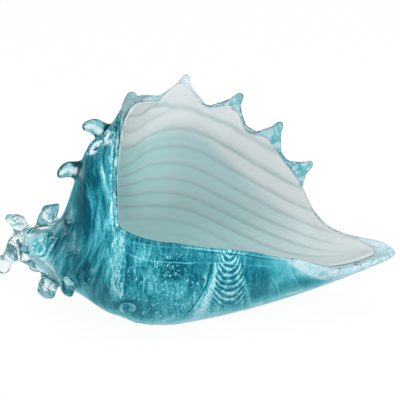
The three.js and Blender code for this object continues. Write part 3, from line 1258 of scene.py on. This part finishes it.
def smooth(shape: bmesh.types.BMesh, rounds: int) -> None:
    """Smooths a mesh: in each round its vertices move halfway to their neighbours.

    Args:
        shape: The mesh.
        rounds: Number of rounds.
    """
    axes = {f"use_axis_{axis}": True for axis in "xyz"}
    for _ in range(rounds):
        bmesh.ops.smooth_vert(shape, verts=shape.verts, factor=0.5, **axes)


def lip_tips() -> list[Vector]:
    """Finds the tips of the lip points.

    Returns:
        Of each point, in order, the place that lies furthest from the shell's axis.
    """
    tips = []
    for name in sorted(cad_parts):
        if name.startswith("lip_point"):
            places = [vert.co.copy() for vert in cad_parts[name].data.vertices]
            tips.append(max(places, key=lambda co: math.hypot(co.y, co.z - AXIS_HEIGHT)))
    return tips


class RimLine:
    """Where the rim of the standing lip runs, read from a CAD node."""

    def __init__(self, node: str, pitch: float = 7 * MM) -> None:
        """Keeps the highest angle of each stretch along the shell.

        Args:
            node: Name of the node.
            pitch: Length of a stretch.
        """
        tops: dict[int, tuple[float, float]] = {}
        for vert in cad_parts[node].data.vertices:
            angle = polar_angle(vert.co)
            stretch = math.floor(vert.co.x / pitch)
            if angle > tops.get(stretch, (LIP_ANGLE, 0.0))[0]:
                tops[stretch] = (angle, vert.co.x)
        self.places = sorted((x, angle) for angle, x in tops.values())

    def at(self, x: float) -> float:
        """Angle of the rim in degrees at a place along the shell, in metres."""
        return graded(self.places, x)


def as_object(shape: bmesh.types.BMesh, name: str) -> bpy.types.Object:
    """Puts a mesh in the scene and frees it.

    Args:
        shape: The mesh.
        name: Name of the new object.

    Returns:
        The object.
    """
    mesh = bpy.data.meshes.new(name)
    shape.to_mesh(mesh)
    shape.free()
    made = bpy.data.objects.new(name, mesh)
    bpy.context.scene.collection.objects.link(made)
    return made


def applied(source: bpy.types.Object, kinds: Iterable[tuple[str, dict[str, Any]]]) -> bmesh.types.BMesh:
    """Runs modifiers on an object and takes its mesh back.

    Args:
        source: The object, which is removed.
        kinds: Modifier types with their settings, in order.

    Returns:
        The finished mesh.
    """
    for kind, settings in kinds:
        modifier = source.modifiers.new(kind.lower(), kind)
        for key, value in settings.items():
            setattr(modifier, key, value)
    finished = source.evaluated_get(bpy.context.evaluated_depsgraph_get())
    shape = bmesh.new()
    shape.from_mesh(finished.to_mesh())
    bpy.data.meshes.remove(source.data)
    shape.normal_update()
    return shape


def rounded(shape: bmesh.types.BMesh, levels: int) -> bmesh.types.BMesh:
    """Rounds a faceted mesh by subdivision.

    Args:
        shape: The mesh, which is freed.
        levels: How often each face is parted.

    Returns:
        The rounded mesh.
    """
    settings = {"levels": levels, "render_levels": levels}
    return applied(as_object(shape, "work"), [("SUBSURF", settings)])


def add_to(whole: bmesh.types.BMesh, part: bmesh.types.BMesh) -> None:
    """Adds a mesh to another one.

    Args:
        whole: The mesh that grows.
        part: The mesh that is added, which is freed.
    """
    mesh = bpy.data.meshes.new("work")
    part.to_mesh(mesh)
    part.free()
    whole.from_mesh(mesh)
    bpy.data.meshes.remove(mesh)


def place_piece(
    shape: bmesh.types.BMesh, name: str, slot: Slot, nodes: Iterable[str], finish: bpy.types.Material
) -> bpy.types.Object:
    """Hands a finished piece to the frame.

    Args:
        shape: The piece's mesh, which is freed.
        name: Name of the piece.
        slot: Material slot of the record; not used.
        nodes: CAD nodes that it stands for.
        finish: Its material.

    Returns:
        The piece.
    """
    for face in shape.faces:
        face.smooth = True
    piece = as_object(shape, name)
    piece.data.materials.append(finish)
    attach(piece, "root")
    names = list(nodes)
    if names:
        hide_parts(*names)
    LOG.info("%s: %d faces", name, len(piece.data.polygons))
    return piece


@dataclass
class GlassBody:
    """The clear glass: casing, lip points, knobs, cap and prunts melted into one skin."""

    walls: tuple[str, str] = ("aqua_casing", "clear_spire_cap")
    voxel: float = 0.95 * MM
    sink: float = 1.1 * MM
    ring_depth: float = 0.01 * MM
    cap_overlap: float = 3.0 * MM
    cap_widths: tuple[float, ...] = (1.0, 0.6)
    melt_rounds: int = 6
    melt_factor: float = 0.5
    base: float = 0.05 * MM
    lump: float = 2.0 * MM
    lump_mean: float = 0.5
    lump_pitch: float = 5.5 * MM
    swells: dict[str, tuple[float, float, float]] = field(
        default_factory=lambda: {
            "spire_prunt": (1.25, 1.15, 1.15),
            "apex_prunt": (1.08, 1.15, 1.15),
            "shoulder_knob_8": (1.5, 1.5, 1.5),
            "shoulder_knob_9": (1.5, 1.5, 1.5),
            "lip_point_1": (1.3, 1.05, 1.0),
        }
    )
    tint_reach: float = 4 * MM
    rim_tint: float = 0.6
    rim_width: float = 5.0
    rim_from: float = 30 * MM
    crown: Table = ((-17, 0), (-13, 1), (0, 1), (8, 0))
    crown_milk: float = 0.7
    crown_tint: float = 0.55
    tints: dict[str, float] = field(
        default_factory=lambda: {
            "lip_point_1": 0.8,
            "lip_point_3": 1.1,
            "lip_point_4": 1.0,
            "lip_point_5": 1.1,
            **{f"shoulder_knob_{number}": 1.2 for number in range(1, 8)},
            **{f"spire_prunt_{number}": 1.3 for number in range(1, 8)},
            **{f"apex_prunt_{number}": 1.1 for number in range(1, 4)},
        }
    )
    milks: dict[str, float] = field(
        default_factory=lambda: {
            "lip_point_1": 0.6,
            "lip_point_2": 0.85,
            "lip_point_3": 0.3,
            "lip_point_4": 0.15,
            "lip_point_5": 0.1,
        }
    )
    # Knobs that get a painted highlight on the side that faces one fixed way.
    painted_highlight_knobs: tuple[str, ...] = tuple(f"shoulder_knob_{number}" for number in (1, 2, 8, 9))
    painted_highlight_way: Vector = field(default_factory=lambda: Vector((-0.25, -0.9, 0.2)).normalized())
    painted_highlight_turn: Span = (0.84, 0.96)
    painted_highlight_reach: float = 1.5 * MM
    fold_line: CanalFold = CanalFold()
    fold_soft: float = 6.0
    fold_milk: float = 0.75
    fold_tint: float = 0.4
    tip_from: float = 84.0
    tip_span: float = 14.0
    tip_milk: float = 0.85
    tip_tint: float = 0.3
    finish: ClearGlass = field(default_factory=ClearGlass)

    def nodes(self) -> list[str]:
        """CAD nodes that the glass stands for."""
        return [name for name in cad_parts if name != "opal_lining"]

    def filled_cap(self) -> bmesh.types.BMesh:
        """Makes the cap a solid gather that runs on into the casing.

        Returns:
            The cap's outer skin, drawn on at its open end and closed there.
        """
        shape = cad_copy("clear_spire_cap")
        end = max(vert.co.x for vert in shape.verts)
        ring = [face for face in shape.faces if face.calc_center_median().x > end - self.ring_depth]
        bmesh.ops.delete(shape, geom=ring, context="FACES")
        tip = min(shape.verts, key=lambda vert: vert.co.x)
        outside, queue = {tip}, [tip]
        while queue:
            for edge in queue.pop().link_edges:
                for vert in edge.verts:
                    if vert not in outside:
                        outside.add(vert)
                        queue.append(vert)
        inside = [vert for vert in shape.verts if vert not in outside]
        bmesh.ops.delete(shape, geom=inside, context="VERTS")
        for width in self.cap_widths:
            rim = [edge for edge in shape.edges if edge.is_boundary]
            grown = bmesh.ops.extrude_edge_only(shape, edges=rim)["geom"]
            verts = [item for item in grown if isinstance(item, bmesh.types.BMVert)]
            middle = Matrix.Translation(-middle_of(verts))
            bmesh.ops.translate(shape, verts=verts, vec=(self.cap_overlap, 0, 0))
            bmesh.ops.scale(shape, verts=verts, vec=(1, width, width), space=middle)
        bmesh.ops.holes_fill(shape, edges=[edge for edge in shape.edges if edge.is_boundary])
        bmesh.ops.recalc_face_normals(shape, faces=shape.faces)
        return shape

    def dent(self, bit: bmesh.types.BMesh) -> None:
        """Makes a prunt uneven, as a bit of hot glass that sagged before it set."""
        for vert in bit.verts:
            vert.co -= vert.normal * self.lump * (self.lump_mean + noise.noise(vert.co / self.lump_pitch))

    def seated(self, name: str, skins: Sequence[BVHTree]) -> bmesh.types.BMesh:
        """Sinks a lip point, knob or prunt into the wall that it sits on.

        Args:
            name: Its CAD node.
            skins: Skins of the casing and the cap.

        Returns:
            The bit of glass, swollen and dented where the photograph shows it so.
        """
        bit = rounded(cad_copy(name), ROUNDING)
        middle = middle_of(bit.verts)
        seat = min((skin.find_nearest(middle) for skin in skins), key=lambda hit: hit[3])[0]
        bmesh.ops.translate(bit, verts=bit.verts, vec=(seat - middle).normalized() * self.sink)
        swell = [vec for start, vec in self.swells.items() if name.startswith(start)]
        if swell:
            bmesh.ops.scale(bit, verts=bit.verts, vec=swell[0], space=Matrix.Translation(-middle))
        if "prunt" in name:
            self.dent(bit)
        return bit

    def build(self) -> bpy.types.Object:
        """Melts the pieces together and dresses them.

        Returns:
            The piece of glass.
        """
        walls = [rounded(cad_copy("aqua_casing"), ROUNDING), rounded(self.filled_cap(), ROUNDING)]
        skins = [BVHTree.FromBMesh(wall) for wall in walls]
        whole = bmesh.new()
        for wall in walls:
            add_to(whole, wall)
        for name in self.nodes():
            if name not in self.walls:
                add_to(whole, self.seated(name, skins))
        melted = applied(
            as_object(whole, "work"),
            [
                ("REMESH", {"mode": "VOXEL", "voxel_size": self.voxel, "adaptivity": 0.0}),
                ("SMOOTH", {"factor": self.melt_factor, "iterations": self.melt_rounds}),
            ],
        )
        for vert in melted.verts:
            vert.co.z = max(vert.co.z, self.base)
        for name in (self.finish.tint_name, self.finish.milk_and_highlight_name):
            melted.verts.layers.float.new(name)
        self.tint_rim(melted)
        self.mark(melted, self.finish.tint_name, self.tints)
        self.mark(melted, self.finish.milk_and_highlight_name, self.milks)
        self.paint_highlights(melted)
        self.fold(melted)
        return place_piece(melted, "glass_body", Slot.AQUA, self.nodes(), self.finish.build())

    def tint_rim(self, melted: bmesh.types.BMesh) -> None:
        """Marks the teal in the bare rim of the lip, and its milky stretch behind the first lip point.

        Args:
            melted: The glass.
        """
        tint = melted.verts.layers.float[self.finish.tint_name]
        milk_and_highlight = melted.verts.layers.float[self.finish.milk_and_highlight_name]
        rim = RimLine("aqua_casing")
        for vert in melted.verts:
            below = rim.at(vert.co.x) - polar_angle(vert.co)
            edge = min(1.0, 2 - 2 * below / self.rim_width)
            if edge > 0:
                along = limited((vert.co.x - self.rim_from) / self.tint_reach)
                crown = edge * graded(self.crown, vert.co.x / MM)
                vert[tint] = max(self.rim_tint * min(edge, along), crown * self.crown_tint)
                vert[milk_and_highlight] = crown * self.crown_milk

    def mark(self, melted: bmesh.types.BMesh, layer_name: str, shares: dict[str, float]) -> None:
        """Marks the glass round some of the pieces.

        Args:
            melted: The glass.
            layer_name: Name of the value that is stored.
            shares: Values by CAD node; they fade out within a short reach of it.
        """
        layer = melted.verts.layers.float[layer_name]
        for name, share in shares.items():
            skin = node_skin(name)
            for vert in melted.verts:
                _, _, _, off = skin.find_nearest(vert.co, self.tint_reach)
                if off is not None:
                    vert[layer] += (share - vert[layer]) * (1 - off / self.tint_reach)

    def paint_highlights(self, melted: bmesh.types.BMesh) -> None:
        """Paints white highlights on the sides of some of the knobs that face one fixed way.

        Args:
            melted: The glass.
        """
        tint = melted.verts.layers.float[self.finish.tint_name]
        milk_and_highlight = melted.verts.layers.float[self.finish.milk_and_highlight_name]
        low, high = self.painted_highlight_turn
        for name in self.painted_highlight_knobs:
            skin = node_skin(name)
            for vert in melted.verts:
                facing = (vert.normal.dot(self.painted_highlight_way) - low) / (high - low)
                if facing > 0 and skin.find_nearest(vert.co, self.painted_highlight_reach)[0] is not None:
                    # Painted highlight: opaque white in place of the teal.
                    vert[milk_and_highlight] = min(1.0, facing)
                    vert[tint] *= 1 - vert[milk_and_highlight]

    def fold(self, melted: bmesh.types.BMesh) -> None:
        """Marks the milky glass at the canal's tip and where the white lining folds over its front edge.

        Args:
            melted: The glass.
        """
        tint = melted.verts.layers.float[self.finish.tint_name]
        milk_and_highlight = melted.verts.layers.float[self.finish.milk_and_highlight_name]
        start, full = self.fold_line.starts
        for vert in melted.verts:
            x, turn = vert.co.x / MM, polar_angle(vert.co)
            over = limited((max(self.fold_line.limits(x)) - turn) / self.fold_soft)
            over = over * limited((x - start) / (full - start)) if turn < LIP_ANGLE else 0.0
            tip = limited((x - self.tip_from) / self.tip_span)
            vert[milk_and_highlight] = max(vert[milk_and_highlight], over * self.fold_milk, tip * self.tip_milk)
            vert[tint] = max(vert[tint], over * self.fold_tint, tip * self.tip_tint)


@dataclass
class FritCoat:
    """The coloured coat under the clear glass, from the nose in the spire to the rim of the lip."""

    depth: float = 1.8 * MM
    canal_depth: float = 0.7 * MM
    wall: float = 0.8 * MM
    lowest: float = 1.3 * MM
    nose_end: float = -45 * MM
    tip_from: float = 100 * MM
    tip_span: float = 21 * MM
    tip_back: float = 1.5 * MM
    lip_rings: int = 3
    lip_from: float = -12 * MM
    far_below: float = 99.0
    finish: MarbledFrit = field(default_factory=MarbledFrit)

    def build(self) -> bpy.types.Object:
        """Takes the outer skin of the casing, sets it into the wall and gives it a thickness.

        Returns:
            The coat.
        """
        shape = rounded(cad_copy("aqua_casing"), ROUNDING)
        inner = [face for face in shape.faces if not self.looks_out(face)]
        bmesh.ops.delete(shape, geom=inner, context="FACES")
        for _ in range(self.lip_rings):
            edge = [face for face in shape.faces if any(vert.is_boundary for vert in face.verts)]
            bmesh.ops.delete(shape, geom=[face for face in edge if self.on_lip(face)], context="FACES")
        shape.normal_update()
        self.measure(shape)
        for vert, normal in [(vert, vert.normal.copy()) for vert in shape.verts]:
            vert.co -= normal * (self.depth + (self.canal_depth - self.depth) * canal_share(vert.co.x))
        coat = applied(
            as_object(shape, "work"),
            [("SOLIDIFY", {"thickness": self.wall, "offset": -1.0})],
        )
        for vert in coat.verts:
            past = max(0.0, (vert.co.x - self.tip_from) / self.tip_span)
            vert.co.x -= self.tip_back * past**2
            vert.co.z = max(vert.co.z, self.lowest)
        return place_piece(coat, "frit_coat", Slot.AQUA, [], self.finish.build())

    def measure(self, shape: bmesh.types.BMesh) -> None:
        """Stores how far below the rim of the standing lip each place lies, in millimetres.

        Args:
            shape: The coat.
        """
        layer = shape.verts.layers.float.new(self.finish.rim_name)
        rim = RimLine("aqua_casing")
        for vert in shape.verts:
            angle = polar_angle(vert.co)
            away = math.hypot(vert.co.y, vert.co.z - AXIS_HEIGHT) / MM
            below = math.radians(rim.at(vert.co.x) - angle) * away
            vert[layer] = below if angle > LIP_ANGLE else self.far_below

    def on_lip(self, face: bmesh.types.BMFace) -> bool:
        """True if a face lies on the standing lip, right of the shoulder."""
        middle = face.calc_center_median()
        return polar_angle(middle) > LIP_ANGLE and middle.x > self.lip_from

    def looks_out(self, face: bmesh.types.BMFace) -> bool:
        """Tells the casing's outer skin from its inner one.

        Args:
            face: A face of the casing.

        Returns:
            True if it points away from the shell's axis or lies on the nose.
        """
        middle = face.calc_center_median()
        away = middle - Vector((middle.x, 0, AXIS_HEIGHT))
        return face.normal.dot(away) > 0 or middle.x < self.nose_end


@dataclass
class OpalLining:
    """The white lining of the mouth, with overlapping ribs that fan out from its left edge."""

    embed: float = 0.8 * MM
    front_embed: float = 2.0 * MM
    front_gain: float = 2.0
    smooth_rounds: int = 3
    settle_rounds: int = 2
    top_angle: float = 225.5
    top_fall: float = 0.0031
    fall_from: float = 8.0
    spread: float = 0.0165
    spread_from: float = 18.0
    spread_bend: float = 12.0
    pitch: float = 5.0
    pitch_growth: float = 0.32
    rise: float = 1.15
    rise_from: float = -3.0
    rise_span: float = 12.0
    rise_until: float = 11.3
    left_end: float = -17.0
    rib_share: Table = ((-24, 0), (-17, 1), (76, 1), (98, 0))
    middle: float = -15 * MM
    rib_depth: float = 0.5 * MM
    rib_edge: float = 0.86
    rib_curve: float = 1.6
    crease: Table = ((-15, -1.5), (-10, -1.3), (-2.5, -1.0), (2, -0.6), (8, -0.1))
    crease_half: float = 0.3
    pull_reach: float = 12 * MM
    pull_counts: Span = (0.6, -0.1)
    pulls: tuple[float, ...] = (0.15, 0.88, 0.7, 0.3, 0.15)
    bare_rim: Table = ((-8, 0), (4, -1.6), (32, -1.6), (42, 2.4), (76, 2.4), (92, 0))
    bare_reach: float = 9 * MM
    skin_reach: float = 2 * MM
    same_side: float = 0.5
    finish: OpalWhite = field(default_factory=OpalWhite)

    def count_at(self, point: Vector) -> float:
        """How many ribs lie above a place: they start under the crease below the rim.

        Args:
            point: A place on the lining.

        Returns:
            The count, whole on the edge of a rib and below 0 above the crease.
        """
        x = max(self.left_end, point.x / MM)
        top = self.top_angle - self.top_fall * max(0.0, x - self.fall_from) ** 2
        right = x - self.spread_from
        right = (right + math.hypot(right, self.spread_bend)) / 2
        drop = (top - polar_angle(point)) / (1 + self.spread * right)
        if drop < self.rise_until:
            lift = self.rise * (max(0.0, self.rise_from - x) / self.rise_span) ** 2
            drop = self.rise_until - (self.rise_until - drop) / (1 + lift)
        root = max(0.0, self.pitch**2 + 4 * self.pitch_growth * drop)
        return (math.sqrt(root) - self.pitch) / (2 * self.pitch_growth)

    def groove(self, count: float) -> float:
        """Depth of the ribs at a count.

        Args:
            count: How many ribs lie above the place.

        Returns:
            The share of the depth: 1 below the edge of a rib, 0 just above the next edge.
        """
        last = self.finish.last_rib
        if count < -1 or count > last:
            return 0.0
        part = count - math.floor(count)
        if part > self.rib_edge:
            depth = (part - self.rib_edge) / (1 - self.rib_edge)
        else:
            depth = (1 - part / self.rib_edge) ** self.rib_curve
        return depth * min(1.0, count + 1, (last - count) / self.finish.fade_ribs)

    def drawn_out(self, point: Vector, count: float, draws: list[tuple[Vector, Vector]]) -> Vector:
        """Where a place on the lining's edge is drawn to by the lip points.

        Args:
            point: A place on the lining.
            count: How many ribs lie above it.
            draws: Foot of each lip point on the rim, with the way that it draws the lining.

        Returns:
            The place after the pull.
        """
        low, high = self.pull_counts
        grip = limited((low - count) / (low - high))
        moved = point.copy()
        for foot, way in draws:
            moved += way * grip * max(0.0, 1 - (point - foot).length / self.pull_reach)
        return moved

    def drawn_in(self, point: Vector, normal: Vector, rim: RimLine, skin: BVHTree) -> Vector:
        """Where a place near the lip's edge lies once bare glass is left along the rim.

        Args:
            point: A place on the lining.
            normal: Which way its skin looks there.
            rim: The lining's own rim.
            skin: The lining before this change.

        Returns:
            The place after the change, still on the lining's skin.
        """
        angle = polar_angle(point)
        away = Vector((0, point.y, point.z - AXIS_HEIGHT))
        off = math.radians(max(0.0, rim.at(point.x) - angle)) * away.length
        back = graded(self.bare_rim, point.x / MM) * MM * max(0.0, 1 - off / self.bare_reach)
        if back == 0 or angle < LIP_ANGLE:
            return point
        turned = Matrix.Rotation(-back / away.length, 3, "X") @ away
        moved = Vector((point.x, turned.y, turned.z + AXIS_HEIGHT))
        if back < 0:
            return moved
        near = skin.find_nearest_range(moved, self.skin_reach)
        hits = [hit for hit in near if hit[1].dot(normal) > self.same_side]
        return min(hits, key=lambda hit: hit[3])[0] if hits else point

    def embed_at(self, point: Vector) -> float:
        """How far the lining's back goes into the glass.

        Args:
            point: A place on the lining.

        Returns:
            The depth in metres, which is largest under the front edge, where the lining meets the coat.
        """
        under = (LIP_ANGLE - polar_angle(point)) / LIP_ANGLE
        share = (1 - canal_share(point.x)) * limited(under * self.front_gain)
        return self.embed + (self.front_embed - self.embed) * share

    def build(self) -> bpy.types.Object:
        """Smooths the lining, cuts the ribs in it and presses its back into the glass.

        Returns:
            The lining.
        """
        shape = cad_copy("opal_lining")
        smooth(shape, self.smooth_rounds)
        shape = rounded(shape, ROUNDING)
        skin = BVHTree.FromBMesh(shape)
        rim = RimLine("opal_lining")
        draws = []
        for tip, share in zip(lip_tips(), self.pulls):
            foot = skin.find_nearest(tip)[0]
            draws.append((foot, (tip - foot) * share))
        for vert in shape.verts:
            bare = self.drawn_in(vert.co, vert.normal, rim, skin)
            vert.co = self.drawn_out(bare, self.count_at(vert.co), draws)
        smooth(shape, self.settle_rounds)
        shape.normal_update()
        self.cut_ribs(shape)
        return place_piece(shape, "opal_lining_ribbed", Slot.OPAL, ["opal_lining"], self.finish.build())

    def cut_ribs(self, shape: bmesh.types.BMesh) -> None:
        """Cuts the ribs and the crease in the inner face and presses the outer one into the glass.

        Args:
            shape: The lining, on which the counts are stored for its material.
        """
        layers = shape.verts.layers.float
        for name in (self.finish.rib_name, self.finish.crease_name):
            layers.new(name)
        ribs, creases = layers[self.finish.rib_name], layers[self.finish.crease_name]
        for vert, normal in [(vert, vert.normal.copy()) for vert in shape.verts]:
            vert[ribs] = self.count_at(vert.co)
            vert[creases] = vert[ribs] - graded(self.crease, vert.co.x / MM)
            away = vert.co - Vector((max(vert.co.x, self.middle), 0, AXIS_HEIGHT))
            if normal.dot(away) > 0:
                vert.co += normal * self.embed_at(vert.co)
            else:
                crease = max(0.0, 1 - abs(vert[creases]) / self.crease_half)
                cut = max(crease, self.groove(vert[ribs])) * graded(self.rib_share, vert.co.x / MM)
                vert.co -= normal * cut * self.rib_depth


@dataclass(frozen=True)
class Lamp:
    """A soft square lamp: where it hangs and its side in metres, and its power in watts."""

    name: str
    place: tuple[float, float, float]
    side: float
    power: float


@dataclass(frozen=True)
class Flag:
    """A card that shows only in glass: its middle, width and height in metres, and its colour."""

    name: str
    place: tuple[float, float, float]
    size: Span
    colour: Colour = (0.08, 0.2, 0.23)


@dataclass
class Studio:
    """White floor, soft lamps and the camera at the photograph's angle."""

    target: Vector = field(default_factory=lambda: Vector((22.5, 0, 61.7)) * MM)
    elevation: float = 20.0
    lens: float = 380.0
    picture_width: float = 200 * MM
    floor_size: float = 6.0
    floor_paint: float = 0.9
    floor_glow: float = 0.94
    world_light: float = 0.72
    world_dim: float = 0.62
    flag_roughness: float = 0.9
    spark_side: float = 0.2
    lamps: tuple[Lamp, ...] = (
        Lamp("key", (0.55, -0.95, 0.85), 0.5, 5.4),
        Lamp("top", (0.1, -0.25, 1.2), 0.6, 4.0),
        Lamp("low", (0.0, -0.9, 0.12), 0.5, 3.5),
        Lamp("spark", (-0.5, -0.8, 0.9), 0.1, 0.5),
    )
    flags: tuple[Flag, ...] = (
        Flag("front_flag", (0.0, -1.6, 1.0), (4.6, 2.2)),
        Flag("left_flag", (-1.3, 0.3, 0.7), (2.6, 1.4)),
        Flag("right_flag", (1.3, 0.3, 0.7), (2.6, 1.4)),
        Flag("floor_flag", (0.0, -0.645, 0.0002), (3.2, 1.2), (0.1, 0.5, 0.57)),
        Flag("side_flag", (-0.84, 0.45, 0.0002), (1.52, 1.0), (0.1, 0.5, 0.57)),
        Flag("under_flag", (0.26, 0.2, 0.0002), (0.68, 0.5), (0.4, 0.9, 0.95)),
        Flag("back_flag", (0.0, 1.8, 1.5), (3.6, 0.8), (0.2, 0.42, 0.47)),
    )

    def build(self) -> None:
        """Sets up everything round the object."""
        self.add_camera()
        self.add_floor()
        self.add_world()
        for lamp in self.lamps:
            self.add_lamp(lamp)
        for flag in self.flags:
            self.add_flag(flag)
        bpy.context.scene.view_settings.view_transform = "Standard"

    def add_camera(self) -> None:
        """Camera in front of the mouth, a little above it."""
        data = bpy.data.cameras.new("camera")
        data.lens = self.lens
        camera = bpy.data.objects.new("camera", data)
        bpy.context.scene.collection.objects.link(camera)
        far = self.picture_width / data.sensor_width * self.lens
        rise = math.radians(self.elevation)
        back = Vector((0, -math.cos(rise), math.sin(rise)))
        camera.location = self.target + back * far
        camera.rotation_euler = (-back).to_track_quat("-Z", "Y").to_euler()
        bpy.context.scene.camera = camera

    def add_floor(self) -> None:
        """Large white floor that keeps a soft shadow."""
        shape = bmesh.new()
        bmesh.ops.create_grid(shape, x_segments=4, y_segments=4, size=self.floor_size / 2)
        floor = as_object(shape, "floor")
        graph = Graph("white_floor")
        painted_shade_grey = (*[self.floor_paint] * 3, 1.0)
        paint = graph.wire(graph.node("ShaderNodeBsdfDiffuse", {}, {"Color": painted_shade_grey}))
        glow = graph.wire(graph.node("ShaderNodeEmission", {}, {"Color": WHITE, "Strength": 1.0}))
        path = graph.node("ShaderNodeLightPath", {}, {})
        rays = [graph.wire(path, f"Is {kind} Ray") for kind in ("Camera", "Transmission")]
        share = graph.maths("MAXIMUM", *rays) * self.floor_glow
        mixed = graph.node("ShaderNodeMixShader", {}, {0: share, 1: paint, 2: glow})
        floor.data.materials.append(graph.finish(mixed))

    def add_world(self) -> None:
        """White surroundings, at a plain level for the light that they give."""
        world = bpy.data.worlds.new("studio")
        bpy.context.scene.world = world
        graph = Graph(world)
        path = graph.node("ShaderNodeLightPath", {}, {})
        camera, through, glossy = [
            graph.wire(path, f"Is {kind} Ray") for kind in ("Camera", "Transmission", "Glossy")
        ]
        level = graph.maths("MAXIMUM", camera, through) * (1 - self.world_light) + self.world_light
        level = level - glossy * (1 - through) * self.world_dim
        ground = graph.node("ShaderNodeBackground", {}, {"Color": WHITE, "Strength": level})
        graph.finish(ground, "ShaderNodeOutputWorld")

    def add_flag(self, flag: Flag) -> None:
        """Adds a card that faces the object or lies on the floor, as for a picture of glassware.

        Args:
            flag: The card.
        """
        standing = flag.place[2] > self.target.z
        shape = bmesh.new()
        bmesh.ops.create_grid(shape, x_segments=1, y_segments=1, size=0.5)
        bmesh.ops.scale(shape, verts=shape.verts, vec=(*flag.size, 1))
        aim = self.target - Vector(flag.place) if standing else Vector((0, 0, 1))
        turn = aim.to_track_quat("Z", "Y").to_matrix().to_4x4()
        bmesh.ops.transform(shape, verts=shape.verts, matrix=Matrix.Translation(flag.place) @ turn)
        card = as_object(shape, flag.name)
        graph = Graph(flag.name)
        sockets = {"Base Color": (*flag.colour, 1.0), "Roughness": self.flag_roughness}
        card.data.materials.append(graph.finish(graph.node("ShaderNodeBsdfPrincipled", {}, sockets)))
        card.visible_camera = False
        card.visible_diffuse = False
        card.visible_shadow = False
        card.visible_transmission = standing

    def add_lamp(self, lamp: Lamp) -> None:
        """Adds a lamp that points at the object; only a small one shows in the glass.

        Args:
            lamp: The lamp.
        """
        data = bpy.data.lights.new(lamp.name, "AREA")
        data.energy = lamp.power
        data.size = lamp.side
        made = bpy.data.objects.new(lamp.name, data)
        made.location = lamp.place
        made.rotation_euler = (self.target - Vector(lamp.place)).to_track_quat("-Z", "Y").to_euler()
        made.visible_glossy = lamp.side < self.spark_side
        bpy.context.scene.collection.objects.link(made)


def main() -> None:
    """Builds the pieces in order."""
    logging.basicConfig(level=logging.INFO)
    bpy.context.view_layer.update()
    Studio().build()
    GlassBody().build()
    FritCoat().build()
    OpalLining().build()


if __name__ == "__main__":
    main()
